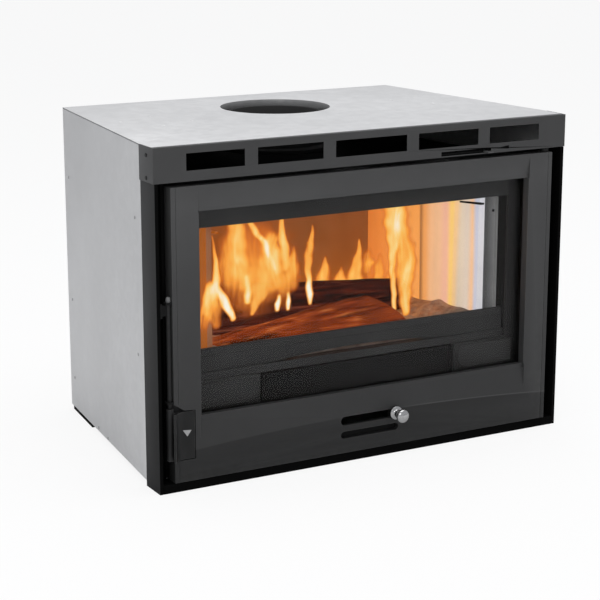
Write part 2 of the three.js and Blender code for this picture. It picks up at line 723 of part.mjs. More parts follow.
function addHearth() {
  const front = fireInside + fitGap;
  const end = fireBackY - fitGap;
  const half = (y) => fireHalfAt(y) - fitGap;
  const outline = [[half(front), front], [half(end), end]];
  const grateCentreY = liningBackFace - grateFromBack;
  const grateFront = grateCentreY - grateHalfDepth;
  const grateBack = grateCentreY + grateHalfDepth;
  const grateSpanY = (grow) => [grateFront - grow, grateBack + grow];
  const grateSpanX = (grow) => [-grateHalfWidth - grow, grateHalfWidth + grow];
  const ledgeZ = hearthZ + hearthThickness / 2;
  const plate = cut(
    column([...outline, ...mirrored(outline).reverse()], [hearthZ, hearthTop]),
    box(grateSpanX(0), grateSpanY(0), [hearthZ - past, hearthTop]),
    box(grateSpanX(grateLedge), grateSpanY(grateLedge), [ledgeZ, hearthTop + past]));
  addPiece(insert, 'hearth_plate', plate, 'blackIron');

  const grateSpan = grateLedge - fitGap;
  let grate = box(grateSpanX(grateSpan), grateSpanY(grateSpan), [ledgeZ + fitGap, hearthTop]);
  const pitch = (2 * grateHalfWidth) / grateBars;
  for (let i = 0; i < grateBars; i += 1) {
    const x = -grateHalfWidth + pitch * (i + 0.5);
    const slotSpan = [grateFront + grateLedge, grateBack - grateLedge];
    const slot = slotOutline(...slotSpan, x - grateSlotHalf, x + grateSlotHalf);
    grate = cut(grate, crosswise(slot, [ledgeZ - past, hearthTop + past]));
  }
  addPiece(insert, 'grate', grate, 'blackIron');

  const guideZ = [fireFloorZ + fireSheet + fitGap, hearthZ - fitGap];
  for (const [side, , sign] of sides) {
    const [near, far] = [ashMouthHalf - ashGuideSheet, ashMouthHalf];
    const span = sign < 0 ? [-far, -near] : [near, far];
    addPiece(insert, `ash_guide_${side}`, box(span, [front, end], guideZ), 'darkInside');
  }

  // The ash pan is an open tray with a taller front.
  const panHalf = ashMouthHalf - ashGuideSheet - ashPanSideGap;
  const panZ = [guideZ[0], guideZ[0] + ashPanHeight];
  const inside = panHalf - ashPanSheet;
  const pan = join(
    cut(
      box([-panHalf, panHalf], [ashPanFront, ashPanBack], panZ),
      box([-inside, inside], [ashPanFront + ashPanSheet, ashPanBack - ashPanSheet],
        [panZ[0] + ashPanSheet, panZ[1] + past])),
    box([-panHalf, panHalf], [ashPanFront, ashPanFront + ashPanSheet * 2],
      [panZ[0], hearthZ - ashPanBelowHearth]));
  addPiece(insert, 'ash_pan', pan, 'darkInside');

  // The log fence: an upright iron bar with a foot, on the front of the hearth.
  const fenceHalf = mouthHalf - fenceInset;
  const fenceFront = fireInside + fenceSetback;
  const footBack = fenceFront + fenceFoot;
  const fenceZ = hearthTop + fitGap;
  const fenceTop = fenceZ + fenceHeight;
  const bead = fenceSheet / 4;
  const fenceOutline = [
    [fenceFront, fenceZ], [fenceFront, fenceTop - fenceStep - bead],
    [fenceFront + bead, fenceTop - fenceStep],
    [fenceFront + bead, fenceTop - bead], [fenceFront + 2 * bead, fenceTop],
    [fenceFront + fenceSheet, fenceTop], [fenceFront + fenceSheet, fenceZ + fenceSheet / 2],
    [footBack, fenceZ + fenceSheet / 2], [footBack, fenceZ],
  ];
  const arch = new THREE.Shape();
  arch.moveTo(-fenceArchHalf, fenceZ - past);
  for (let i = 0; i <= fenceArchSteps; i += 1) {
    const x = fenceArchHalf * ((2 * i) / fenceArchSteps - 1);
    arch.lineTo(x, fenceZ + fenceArchRise * (1 - (x / fenceArchHalf) ** 2));
  }
  arch.lineTo(fenceArchHalf, fenceZ - past);
  const fence = cut(
    lengthwise(fenceOutline, [-fenceHalf, fenceHalf]),
    facing(arch, [fenceFront - past, footBack + past]));
  addPiece(insert, 'fire_fence', fence, 'blackIron');

  // Raised pads on the firebox front, each side of the ash mouth, rounded towards the middle.
  const padBack = fireFace - fitGap;
  const cheekX = [ashMouthHalf + cheekFromAsh, mouthHalf + cheekPastMouth];
  for (const [side, , sign] of sides) {
    const radius = (cheekZ[1] - cheekZ[0]) / 2;
    const shape = new THREE.Shape();
    shape.moveTo(sign * cheekX[1], cheekZ[0]);
    shape.lineTo(sign * cheekX[1], cheekZ[1]);
    shape.lineTo(sign * (cheekX[0] + radius), cheekZ[1]);
    const arcFrom = Math.PI / 2;
    shape.absarc(sign * (cheekX[0] + radius), cheekZ[0] + radius, radius, arcFrom, -arcFrom, sign < 0);
    const pad = facing(shape, [padBack - cheekThickness, padBack]);
    addPiece(insert, `fire_cheek_${side}`, pad, 'blackIron');
  }
}

// ---------------------------------------------------------------- logs

// A log: rings of a slightly lobed section along a straight line, growing or shrinking on the
// way, with flat ends. It lies on the hearth along its whole length. The far end may lean.
function logShape([x0, x1], [y0, y1], [r0, r1], lobes, lean) {
  const rings = 10;
  const around = 14;
  const base = hearthTop + fitGap;
  const positions = [];
  const index = [];
  for (let i = 0; i <= rings; i += 1) {
    const t = i / rings;
    const radius = r0 + (r1 - r0) * t + logSwell * Math.sin(5 * t * Math.PI);
    for (let j = 0; j < around; j += 1) {
      const a = (2 * Math.PI * j) / around;
      const r = radius * (1 - 0.06 * (1 + Math.cos(lobes * a + 2.2 * t)));
      const height = radius + r * Math.sin(a);
      const x = x0 + (x1 - x0 - lean * height) * t;
      positions.push(x, y0 + (y1 - y0) * t + r * Math.cos(a), base + height);
      if (i === rings) continue;
      const next = (j + 1) % around;
      const [a0, a1] = [i * around + j, i * around + next];
      index.push(a0, a0 + around, a1, a1, a0 + around, a1 + around);
    }
  }
  for (const [ring, turn] of [[0, 1], [rings, -1]]) {
    const first = ring * around;
    for (let j = 1; j < around - 1; j += 1) {
      index.push(first, ...(turn > 0 ? [first + j, first + j + 1] : [first + j + 1, first + j]));
    }
  }
  const geometry = new THREE.BufferGeometry();
  geometry.setAttribute('position', new THREE.Float32BufferAttribute(positions, 3));
  geometry.setIndex(index);
  geometry.computeBoundingBox();
  geometry.translate(0, 0, base - geometry.boundingBox.min.z);
  return solid(geometry);
}

function addLogs() {
  const between = ([left, right]) => [left - mouthHalf, mouthHalf - right];
  const frontY = frontLogSetback.map((y) => fireInside + y);
  const rearY = rearLogBeforeBack.map((y) => fireBackY - y);
  const front = logShape(between(frontLogInset), frontY, frontLogRadius, 3, frontLogLean);
  const rear = logShape(between(rearLogInset), rearY, rearLogRadius, 4, 0);
  addPiece(insert, 'log_front', front, 'bark');
  addPiece(insert, 'log_rear', rear, 'bark');
}

// ---------------------------------------------------------------- door

// The rope seal runs in a groove in the back of the door, well outside the glass.
function ropeRun() {
  return {
    half: doorHalf - ropeInset,
    z: [glassBottom - ropeBelowGlass, doorTop - ropeInset],
  };
}
const ropeBack = () => doorFace + ropeFloor + fitGap + ropeDepth;

function pocketOutline() {
  const right = handleRight + pocketMargin;
  const [low, high] = [handlePlate[0] - pocketMargin, handlePlate[1] + pocketMargin];
  const edge = -doorHalf - past;
  const corner = handleBend + pocketMargin;
  return [
    [edge, low], [right, low], [right, high], [corner, high + pocketMargin],
    [-doorHalf, high + pocketCorner], [edge, high + pocketCorner],
  ];
}

function addDoorFrame() {
  const outer = { half: doorHalf, z: [doorBottom, doorTop] };
  const rope = ropeRun();
  const opening = box([-glassHalf, glassHalf], [doorFace - past, doorBack + past], [glassBottom, glassTop]);
  const face = box([-outer.half, outer.half], [doorFace, doorFace + doorWall], outer.z);
  const lowerRail = box([-glassHalf, glassHalf], [doorFace, railBack], [doorBottom, glassBottom]);
  const upperRail = box([-glassHalf, glassHalf], [doorFace, railBack], [glassTop, doorTop]);
  const edge = band(outer.half, outer.z, doorWall, [doorFace, doorBack]);
  const grown = (run, by) => [run.half + by, [run.z[0] - by, run.z[1] + by]];
  const ropeWallOuter = band(...grown(rope, doorWall), doorWall, [doorFace, doorBack]);
  const groove = band(...grown(rope, 0), ropeWidth, [doorFace, doorFace + ropeFloor]);
  const ropeWallInner = band(...grown(rope, -ropeWidth), doorWall, [doorFace, doorBack]);
  const glassWall = band(
    glassHalf + doorWall, [glassBottom - doorWall, glassTop + doorWall], doorWall, [doorFace, glassSeat]);

  const pocketFloor = doorFace + pocketDepth;
  const pocketBlock = box(
    [-doorHalf, handleRight + pocketMargin + pocketWall], [doorFace, pocketFloor + pocketWall],
    [handlePlate[0] - pocketMargin - pocketWall, handlePlate[1] + pocketCorner + pocketWall]);
  const bossSpan = [doorHalf - hingeBossSize, doorHalf];
  const bossDepth = [doorFace, doorFace + ropeFloor];
  const lowerBoss = box(bossSpan, bossDepth, [doorBottom, doorBottom + hingeTravel + doorWall]);
  const upperBoss = box(bossSpan, bossDepth, [doorTop - hingeTravel - doorWall, doorTop]);
  const boreRadius = hingePinRadius + fitGap;
  const lowerBore = [doorBottom - past, doorBottom + hingeTravel];
  const upperBore = [doorTop - hingeTravel, doorTop + past];

  const creaseZ = glassBottom - creaseBelowGlass;
  const ahead = doorFace - past;
  const tilt = railFall / creaseBelowGlass;
  const slopeHalf = glassHalf + seamOverlap;
  const deep = doorFace + railFall;
  const lowerSlope = lengthwise(
    [[ahead, creaseZ - past / tilt], [deep, glassBottom], [deep, glassBottom + past],
      [ahead, glassBottom + past]],
    [-slopeHalf, slopeHalf]);
  const topCrease = doorTop - creaseBelowTop;
  const topTilt = railFall / (topCrease - glassTop);
  const upperSlope = lengthwise(
    [[ahead, topCrease + past / topTilt], [deep, glassTop], [deep, glassTop - past],
      [ahead, glassTop - past]],
    [-slopeHalf, slopeHalf]);
  const beads = sides.map(([, , sign]) => {
    const x = sign * (doorHalf - beadWidth);
    return box([x - beadGroove / 2, x + beadGroove / 2], [ahead, doorFace + beadGrooveDepth],
      [doorBottom - past, doorTop + past]);
  });
  const slotDepth = [ahead, railBack + past];
  const airSlots = [upperSlot, lowerSlot].map(([z0, z1]) => (
    facing(slotOutline(-slotHalfLength, slotHalfLength, z0, z1), slotDepth)));

  const frame = cut(
    join(cut(face, opening), cut(join(lowerRail, upperRail), opening), edge, ropeWallOuter, groove,
      ropeWallInner, glassWall, pocketBlock, lowerBoss, upperBoss),
    box([-glassHalf, glassHalf], [doorFace - past, glassSeat + past], [glassBottom, glassTop]),
    lowerSlope, upperSlope, ...beads, ...airSlots,
    facing(pocketOutline(), [ahead, pocketFloor]),
    uprightRod(boreRadius, [hingeX, hingeY], lowerBore),
    uprightRod(boreRadius, [hingeX, hingeY], upperBore));
  addPiece(door, 'door_frame', frame, 'blackIron');
}

function addGlassAndSeals() {
  const front = glassSeat + fitGap;
  const back = front + glassThickness;
  const half = glassHalf + glassLap;
  const pane = box([-half, half], [front, back], [glassBottom - glassLap, glassTop + glassLap]);
  addPiece(door, 'door_glass', pane, 'darkInside');

  // Four flat strips press the pane against the frame from behind.
  const rope = ropeRun();
  const wallInset = ropeWidth + doorWall + fitGap;
  const outerX = rope.half - wallInset;
  const outerZ = [rope.z[0] + wallInset, rope.z[1] - wallInset];
  const innerX = glassHalf + retainerInset;
  const depth = [back + fitGap, back + fitGap + retainerSheet];
  const lengthHalf = innerX - fitGap;
  const strips = {
    left: box([-outerX, -innerX], depth, outerZ),
    right: box([innerX, outerX], depth, outerZ),
    bottom: box([-lengthHalf, lengthHalf], depth, [outerZ[0], glassBottom - retainerInset]),
    top: box([-lengthHalf, lengthHalf], depth, [glassTop + retainerInset, outerZ[1]]),
  };
  for (const [place, strip] of Object.entries(strips)) {
    addPiece(door, `glass_retainer_${place}`, strip, 'darkInside');
  }

  const ropeZ = [rope.z[0] + fitGap, rope.z[1] - fitGap];
  const ropeY = [ropeBack() - ropeDepth, ropeBack()];
  const seal = band(rope.half - fitGap, ropeZ, ropeWidth - 2 * fitGap, ropeY);
  addPiece(door, 'door_gasket', seal, 'rope');
}

// Two pins on one upright axis: one through the sill, one through the header's bottom fold.
function addHingePins() {
  const axis = [hingeX, hingeY];
  const lower = join(
    uprightRod(hingePinRadius, axis, [sillHeight - frameSheet - fitGap, doorBottom + hingePinHold]),
    uprightRod(hingeCollarRadius, axis, [sillHeight + fitGap, doorBottom - fitGap]));
  addPiece(insert, 'hinge_pin_bottom', lower, 'greySteel');
  const upper = join(
    uprightRod(hingePinRadius, axis, [doorTop - hingePinHold, headerBottom + hingePinTail]),
    uprightRod(hingeCollarRadius, axis, [doorTop + fitGap, headerBottom - fitGap]));
  addPiece(insert, 'hinge_pin_top', upper, 'greySteel');
}

// ---------------------------------------------------------------- door air slider

function addAirSlider() {
  const front = railBack + fitGap;
  const depth = [front, front + sliderSheet];
  const [slotLow, slotHigh] = lowerSlot;
  const plateZ = [slotLow - sliderLap, slotHigh + sliderLap];
  const left = -slotHalfLength - sliderMargin;
  const windowStart = slotHalfLength + windowInset;
  const windowEnd = windowStart + airTravel;
  const right = windowEnd + sliderMargin;
  const tabZ = [plateZ[1] - past, knobZ + tabWidth / 2];
  const tab = box([knobX - tabWidth / 2, knobX + tabWidth / 2], depth, tabZ);
  const windowZ = [slotLow - past, slotHigh + past];
  const window = box([windowStart, windowEnd], [front - past, depth[1] + past], windowZ);
  const studFront = -(knobReach - stemHold);
  const studLength = depth[1] - studFront;
  const stud = solid(new THREE.CylinderGeometry(stemRadius, stemRadius, studLength, studFacets)
    .translate(knobX, (depth[1] + studFront) / 2, knobZ));
  const plate = cut(join(box([left, right], depth, plateZ), tab, stud), window);
  addPiece(airSlide, 'air_slider', plate, 'darkInside');

  // The slider runs in a frame behind the rail, open at the top where the knob's tab passes.
  const back = depth[1] + fitGap;
  const sheet = sliderSheet;
  const reach = [left - airTravel - fitGap, right + fitGap];
  const outer = [reach[0] - guideRim, reach[1] + guideRim];
  const block = box(outer, [front, back + sheet], [plateZ[0] - guideRim, plateZ[1] + guideRim]);
  const run = box(reach, [front - past, back], [plateZ[0] - fitGap, plateZ[1] + fitGap]);
  const light = box(
    [reach[0] + guideLip, reach[1] - guideLip], [back - past, back + sheet + past],
    [plateZ[0] + guideLip, plateZ[1] - guideLip]);
  const tabLeft = knobX - tabWidth / 2 - airTravel - runGap;
  const tabRight = knobX + tabWidth / 2 + runGap;
  const tabWay = box(
    [tabLeft, tabRight], [front - past, back + sheet + past],
    [plateZ[1] - guideLip - past, plateZ[1] + guideRim + past]);
  addPiece(door, 'air_slider_guide', cut(block, run, light, tabWay), 'darkInside');

  // Spool-shaped knob, turned about the stud and screwed on it.
  const flangeSeat = doorProud + knobGap;
  const neckStart = flangeSeat + knobFlange + knobFillet;
  const profile = [
    [0, flangeSeat], [knobFlangeRadius, flangeSeat], [knobFlangeRadius, flangeSeat + knobFlange],
    [knobNeckRadius + knobFilletStep, flangeSeat + knobFlange + knobFillet / 3], [knobNeckRadius, neckStart],
    [knobNeckRadius, neckStart + knobNeckLength],
  ];
  const domeCentre = knobReach - knobDome;
  const [domeStart, domeEnd] = [-65, 90].map(THREE.MathUtils.degToRad);
  const domeSteps = 8;
  for (let i = 0; i <= domeSteps; i += 1) {
    const a = domeStart + ((domeEnd - domeStart) * i) / domeSteps;
    profile.push([knobRadius * Math.cos(a), domeCentre + knobDome * Math.sin(a)]);
  }
  profile[profile.length - 1][0] = 0;
  const turned = new THREE.LatheGeometry(profile.map(([r, s]) => new THREE.Vector2(r, s)), knobFacets);
  const boreRadius = stemRadius + fitGap;
  const boreLength = 2 * (fitGap - studFront);
  const bore = solid(new THREE.CylinderGeometry(boreRadius, boreRadius, boreLength, studFacets));
  const knob = addPiece(airSlide, 'air_knob', cut(solid(turned.rotateX(Math.PI)), bore), 'polished');
  knob.position.set(knobX, 0, knobZ);
}

// ---------------------------------------------------------------- door latch

function addLatch() {
  const axis = [rodX, rodY];
  const rod = uprightRod(rodRadius, axis, [rodBottom, rodTop - rodRadius]);
  const cap = solid(new THREE.SphereGeometry(rodRadius, rodFacets, 8).rotateX(Math.PI / 2)
    .translate(rodX, rodY, rodTop - rodRadius));
  addPiece(latch, 'latch_rod', join(rod, cap), 'greySteel');

  // Handle: a plate that lies in the door's pocket, its free edge bent out for the fingers,
  // on a sleeve that is pinned to the rod.
  const base = doorFace + handleSink;
  const under = base + handleSheet;
  const start = rodX + rodRadius + runGap;
  const edgeX = rodX + rodRadius - handleEdgeInset;
  const edgeY = doorFace - handleFlare;
  const bendX = (handleBend + edgeX) / 2;
  const outline = new THREE.Shape();
  outline.moveTo(start, under);
  outline.lineTo(handleRight, under);
  outline.lineTo(handleRight, base);
  outline.lineTo(handleBend + handleSheet, base);
  outline.quadraticCurveTo(bendX, base, edgeX, edgeY);
  outline.lineTo(edgeX - handleSheet, edgeY + handleLip);
  const web = under - handleWeb;
  outline.quadraticCurveTo(bendX - handleSheet, web, handleBend - handleHook, web);
  outline.lineTo(start, web);
  const sleeveZ = [handlePlate[0], handlePlate[1] + pocketCorner / 2];
  const handle = cut(
    join(column(outline, handlePlate), uprightRod(sleeveRadius, axis, sleeveZ)),
    uprightRod(rodRadius + fitGap, axis, [sleeveZ[0] - past, sleeveZ[1] + past]));
  addPiece(latch, 'latch_handle', handle, 'blackIron');

  const tongueX = [rodX - tongueReach, rodX - rodRadius - fitGap];
  const tongue = box(tongueX, [rodY - tongueWidth / 2, rodY + tongueWidth / 2], tongueZ);
  addPiece(latch, 'latch_tongue', tongue, 'darkInside');

  // Two clips on the door's edge guide the rod.
  const lugX = [rodX - lugReach, -doorHalf - fitGap];
  const lugY = [rodY - lugWidth / 2, rodY + lugWidth / 2];
  for (const [place, z] of [['upper', upperLugZ], ['lower', lowerLugZ]]) {
    const bore = uprightRod(rodRadius + fitGap, axis, [z - past, z + lugSheet + past]);
    addPiece(door, `latch_lug_${place}`, cut(box(lugX, lugY, [z, z + lugSheet]), bore), 'darkInside');
  }

  // The keeper on the left post: a plate with a lip in front of the tongue.
  const plateX = -(halfWidth - postLip) + fitGap;
  const keeperZ = [tongueZ[0] - keeperPast, tongueZ[1] + keeperPast];
  const lipX = rodX - tongueReach - runGap;
  const keeper = join(
    box([plateX, plateX + keeperSheet], [0, keeperDepth], keeperZ),
    box([plateX, lipX], [0, keeperLip], keeperZ));
  addPiece(insert, 'latch_keeper', keeper, 'darkInside');
}

// ---------------------------------------------------------------- assembly

addCasing();
addFrame();
addHeader();
addFirebox();
addLining();
addHearth();
addLogs();
addDoorFrame();
addGlassAndSeals();
addHingePins();
addAirSlider();
addLatch();

insert.position.y = -(insertDepth - knobReach) / 2;

export default insert;
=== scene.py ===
import math

import bmesh
import bpy
import numpy as np
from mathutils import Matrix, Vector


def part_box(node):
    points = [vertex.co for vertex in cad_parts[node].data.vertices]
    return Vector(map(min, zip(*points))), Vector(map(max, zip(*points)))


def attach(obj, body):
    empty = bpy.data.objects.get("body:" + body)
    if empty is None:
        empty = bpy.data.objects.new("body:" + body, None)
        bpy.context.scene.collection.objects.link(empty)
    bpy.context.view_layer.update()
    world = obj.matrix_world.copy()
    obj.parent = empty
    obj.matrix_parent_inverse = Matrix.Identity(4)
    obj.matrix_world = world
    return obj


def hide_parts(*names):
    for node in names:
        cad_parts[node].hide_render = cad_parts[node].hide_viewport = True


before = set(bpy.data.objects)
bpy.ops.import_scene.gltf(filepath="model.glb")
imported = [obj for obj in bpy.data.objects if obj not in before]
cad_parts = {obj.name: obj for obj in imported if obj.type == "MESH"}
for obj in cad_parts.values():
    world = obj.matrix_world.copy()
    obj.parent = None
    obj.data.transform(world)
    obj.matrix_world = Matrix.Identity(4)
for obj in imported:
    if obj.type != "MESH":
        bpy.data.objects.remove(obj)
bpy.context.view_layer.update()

# ------------------------------------------------------------------ viewpoint
# The camera stands in front of the insert's left corner, a little above it, and looks level
# along the diagonal. Its place, turn and lens were solved from the corners of the real insert.
camera_place = (-1.3434, -2.41875, 0.8840)
camera_azimuth = math.radians(-28.99)
camera_elevation = math.radians(13.85)
camera_data = bpy.data.cameras.new("viewpoint")
camera_data.sensor_width = 36
camera_data.lens = 106.66
camera_data.clip_start = 0.05
camera = bpy.data.objects.new("viewpoint", camera_data)
camera.location = camera_place
camera.rotation_euler = (math.pi / 2 - camera_elevation, 0, camera_azimuth)
bpy.context.scene.collection.objects.link(camera)
bpy.context.scene.camera = camera

# ------------------------------------------------------------------ casing
# The convection casing is folded from galvanised sheet: two sides that run in towards the
# back, a back, a floor and a top with the flue collar pressed into it. Sheet edges are bare.

front_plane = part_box("frame_post_left")[0][1]  # y of the frame's front face


def added(tree, kind, sockets=None, **settings):
    """Adds one shader node. Settings are its properties; sockets are values or what feeds them."""
    made = tree.nodes.new(kind)
    for name, value in settings.items():
        setattr(made, name, value)
    for name, value in (sockets or {}).items():
        if isinstance(value, bpy.types.NodeSocket):
            tree.links.new(value, made.inputs[name])
        else:
            made.inputs[name].default_value = value
    return made


def effect(name, inputs, outputs):
    """An empty shader node group with named number inputs and outputs of the given kinds."""
    tree = bpy.data.node_groups.new(name, "ShaderNodeTree")
    for label, value in inputs.items():
        socket = tree.interface.new_socket(label, in_out="INPUT", socket_type="NodeSocketFloat")
        socket.default_value = value
    for label, kind in outputs.items():
        tree.interface.new_socket(label, in_out="OUTPUT", socket_type="NodeSocket" + kind)
    return tree, tree.nodes.new("NodeGroupInput").outputs, tree.nodes.new("NodeGroupOutput").inputs


def placed(tree, group, **values):
    """Puts an effect into a material with its own values and returns its outputs."""
    node = added(tree, "ShaderNodeGroup", node_tree=group)
    for name, value in values.items():
        node.inputs[name].default_value = value
    return node.outputs


def ramp(tree, factor, stops, smooth=False):
    """A colour ramp fed by a factor; stops are (place, linear colour or grey)."""
    node = added(tree, "ShaderNodeValToRGB", {"Fac": factor})
    node.color_ramp.interpolation = "EASE" if smooth else "LINEAR"
    steps = node.color_ramp.elements
    while len(steps) < len(stops):
        steps.new(0.5)
    for step, (place, colour) in zip(steps, stops):
        step.position = place
        step.color = (colour, colour, colour, 1) if isinstance(colour, float) else (*colour, 1)
    return node.outputs["Color"]


def mixed(tree, factor, first, second, blend="MIX"):
    """Colour mix of two colours or of what feeds them."""
    node = added(tree, "ShaderNodeMix", data_type="RGBA", blend_type=blend)
    for slot, value in ((0, factor), (6, first), (7, second)):
        if isinstance(value, bpy.types.NodeSocket):
            tree.links.new(value, node.inputs[slot])
        else:
            node.inputs[slot].default_value = (*value, 1) if isinstance(value, tuple) else value
    return node.outputs[2]


def worked(tree, operation, first, second=0.5, third=0.5):
    """One Math node."""
    return added(tree, "ShaderNodeMath", {0: first, 1: second, 2: third}, operation=operation).outputs[0]


def finish(name, **sockets):
    """A material whose Principled BSDF has the given plain values."""
    made = bpy.data.materials.new(name)
    made.use_nodes = True
    shader = made.node_tree.nodes["Principled BSDF"]
    for label, value in sockets.items():
        socket = shader.inputs[label.replace("_", " ")]
        socket.default_value = (*value, 1) if isinstance(value, tuple) else value
    return made, made.node_tree, shader


def feed(tree, shader, **sockets):
    """Links what varies over the surface to the shader."""
    for label, value in sockets.items():
        tree.links.new(value, shader.inputs[label.replace("_", " ")])


def linear(tone):
    """Linear value of a grey or colour written as sRGB 0 to 255, such as 178 or (176, 74, 24)."""
    if isinstance(tone, tuple):
        return tuple(linear(part) for part in tone)
    return (tone / 255 / 12.92) if tone < 11 else ((tone / 255 + 0.055) / 1.055) ** 2.4


# Fine grain of a coating or casting: tone is a soft mottle round 0.5, and normal a fine bump.
grain, grain_in, grain_out = effect(
    "coating_grain", {"Grains": 1800.0, "Height": 0.1, "Mottle": 14.0},
    {"Tone": "Float", "Normal": "Vector"})
object_place = added(grain, "ShaderNodeTexCoord").outputs["Object"]
fine = added(grain, "ShaderNodeTexNoise", {
    "Vector": object_place, "Scale": grain_in["Grains"], "Detail": 2.0, "Roughness": 0.6})
broad = added(grain, "ShaderNodeTexNoise", {
    "Vector": object_place, "Scale": grain_in["Mottle"], "Detail": 4.0, "Roughness": 0.62})
relief = added(grain, "ShaderNodeBump", {
    "Strength": grain_in["Height"], "Distance": 0.0004, "Height": fine.outputs["Fac"]})
grain.links.new(broad.outputs["Fac"], grain_out["Tone"])
grain.links.new(relief.outputs["Normal"], grain_out["Normal"])

# Edges of wear and painted highlight: the rounded normal departs from the true one near an edge, and noise
# breaks it up.
edge_wear_and_highlight, edge_in, edge_out = effect("worn_and_highlit_edges", {"Reach": 0.0015, "Break": 120.0}, {"Mask": "Float"})
rounded = added(edge_wear_and_highlight, "ShaderNodeBevel", {"Radius": edge_in["Reach"]}, samples=4)
true_normal = added(edge_wear_and_highlight, "ShaderNodeNewGeometry").outputs["True Normal"]
lean = added(edge_wear_and_highlight, "ShaderNodeVectorMath", {0: rounded.outputs[0], 1: true_normal}, operation="DOT_PRODUCT")
off_edge = worked(edge_wear_and_highlight, "SUBTRACT", 1.0, lean.outputs["Value"])
patchy = added(edge_wear_and_highlight, "ShaderNodeTexNoise", {
    "Vector": added(edge_wear_and_highlight, "ShaderNodeTexCoord").outputs["Object"], "Scale": edge_in["Break"], "Detail": 3.0})
edge_mask = worked(edge_wear_and_highlight, "MULTIPLY", worked(edge_wear_and_highlight, "MULTIPLY", off_edge, 3.0), patchy.outputs["Fac"])
edge_wear_and_highlight.links.new(worked(edge_wear_and_highlight, "MINIMUM", edge_mask, 1.0), edge_out["Mask"])


def dressed(node, body, coat, bevel=0.0005, segments=2, inner=None, outside=None):
    """Stands for a CAD node: its copy with corners welded, flat triangles joined, edges rounded.

    Where an inner coat is given, outside(centres, normals) picks the faces that keep the outer one.
    """
    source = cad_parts[node]
    shell = bmesh.new()
    shell.from_mesh(source.data)
    bmesh.ops.remove_doubles(shell, verts=shell.verts, dist=2e-6)
    bmesh.ops.dissolve_limit(
        shell, angle_limit=math.radians(0.4), verts=shell.verts, edges=shell.edges)
    mesh = bpy.data.meshes.new(node + "_finished")
    shell.to_mesh(mesh)
    shell.free()
    mesh.materials.clear()
    mesh.materials.append(coat)
    mesh.polygons.foreach_set("use_smooth", np.ones(len(mesh.polygons), bool))
    coats = np.zeros(len(mesh.polygons), np.int32)
    if inner:
        mesh.materials.append(inner)
        centres, normals = np.empty((2, len(mesh.polygons), 3), np.float32)
        mesh.polygons.foreach_get("center", centres.reshape(-1))
        mesh.polygons.foreach_get("normal", normals.reshape(-1))
        coats[~outside(centres, normals)] = 1
    mesh.polygons.foreach_set("material_index", coats)
    piece = bpy.data.objects.new(node + "_finished", mesh)
    bpy.context.scene.collection.objects.link(piece)
    round_off = piece.modifiers.new("rounded_edges", "BEVEL")
    round_off.width = bevel
    round_off.segments = segments
    round_off.limit_method = "ANGLE"
    round_off.angle_limit = math.radians(25)
    round_off.harden_normals = True
    round_off.use_clamp_overlap = True
    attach(piece, body)
    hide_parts(node)
    return piece


def coated(node, coat):
    """Gives a CAD node that stays as it is its material."""
    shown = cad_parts[node]
    shown.data.materials.clear()
    shown.data.materials.append(coat)


def zinc_finish(name, share):
    """Galvanised sheet: faint spangles, a soft cloud and brighter edges; a share below 1 paints shade."""
    made, tree, shader = finish(name, Metallic=0.3, Roughness=0.5, IOR=1.45)
    place = added(tree, "ShaderNodeTexCoord").outputs["Object"]
    spangle = added(tree, "ShaderNodeTexVoronoi", {"Vector": place, "Scale": 95.0, "Randomness": 1.0})
    spangle_tone = added(tree, "ShaderNodeSeparateColor", {"Color": spangle.outputs["Color"]}).outputs[0]
    sheet_grain = placed(tree, grain, Grains=900.0, Height=0.05, Mottle=5.0)
    sheet_wear_and_highlight = placed(tree, edge_wear_and_highlight, Reach=0.002, Break=60.0)["Mask"]
    base = ramp(tree, spangle_tone, [(0.0, 0.585 * share), (1.0, 0.635 * share)])
    cloud = ramp(tree, sheet_grain["Tone"], [(0.3, 0.93), (0.7, 1.03)])
    feed(tree, shader,
         Base_Color=mixed(tree, sheet_wear_and_highlight, mixed(tree, 1.0, base, cloud, "MULTIPLY"), (0.86 * share,) * 3),
         Roughness=worked(tree, "MULTIPLY_ADD", spangle_tone, 0.14, 0.42),
         Normal=sheet_grain["Normal"])
    return made


# The sides and the flue collar's walls take darker copies of the sheet: painted shade, as they get less
# light.
zinc = zinc_finish("galvanised_sheet", 1.0)
side_zinc_painted_shade = zinc_finish("galvanised_side_shaded", 0.90)
collar_zinc_painted_shade = zinc_finish("galvanised_collar_shaded", 0.42)
for panel in ("casing_back", "casing_bottom"):
    dressed(panel, "root", zinc, bevel=0.0006)
for panel in ("casing_left", "casing_right"):
    dressed(panel, "root", side_zinc_painted_shade, bevel=0.0006)
dressed(
    "casing_top", "root", zinc, bevel=0.0006, inner=collar_zinc_painted_shade,
    outside=lambda centres, normals: np.abs(normals[:, 2]) > 0.5)


def button(name, body, centre, outwards, radius, height, coat, dimple=0.35, around=20):
    """A round head: the profile r(s), h(s) of a flat dome with a dimple, turned about outwards."""
    s = np.linspace(0, 1, 9)
    r = radius * np.sqrt(1 - (1 - s) ** 2)
    h = height * (1 - s**2.4) - height * dimple * np.exp(-((s / 0.22) ** 2))
    angle = np.linspace(0, 2 * math.pi, around, endpoint=False)
    axis = np.array(outwards, float) / np.linalg.norm(outwards)
    side = np.cross(axis, (0, 0, 1) if abs(axis[2]) < 0.9 else (0, 1, 0))
    side /= np.linalg.norm(side)
    up = np.cross(axis, side)
    spokes = np.cos(angle)[None, :, None] * side + np.sin(angle)[None, :, None] * up
    rings = np.array(centre) + r[1:, None, None] * spokes + h[1:, None, None] * axis
    points = np.vstack([np.array(centre) + h[0] * axis, rings.reshape(-1, 3)])
    faces = [(0, 1 + i, 1 + (i + 1) % around) for i in range(around)]
    for ring in range(len(s) - 2):
        low, high = 1 + ring * around, 1 + (ring + 1) * around
        faces += [(low + i, high + i, high + (i + 1) % around, low + (i + 1) % around) for i in range(around)]
    last = 1 + (len(s) - 2) * around
    faces.append(tuple(last + i for i in reversed(range(around))))
    return shaped(name, body, points, faces, coat)


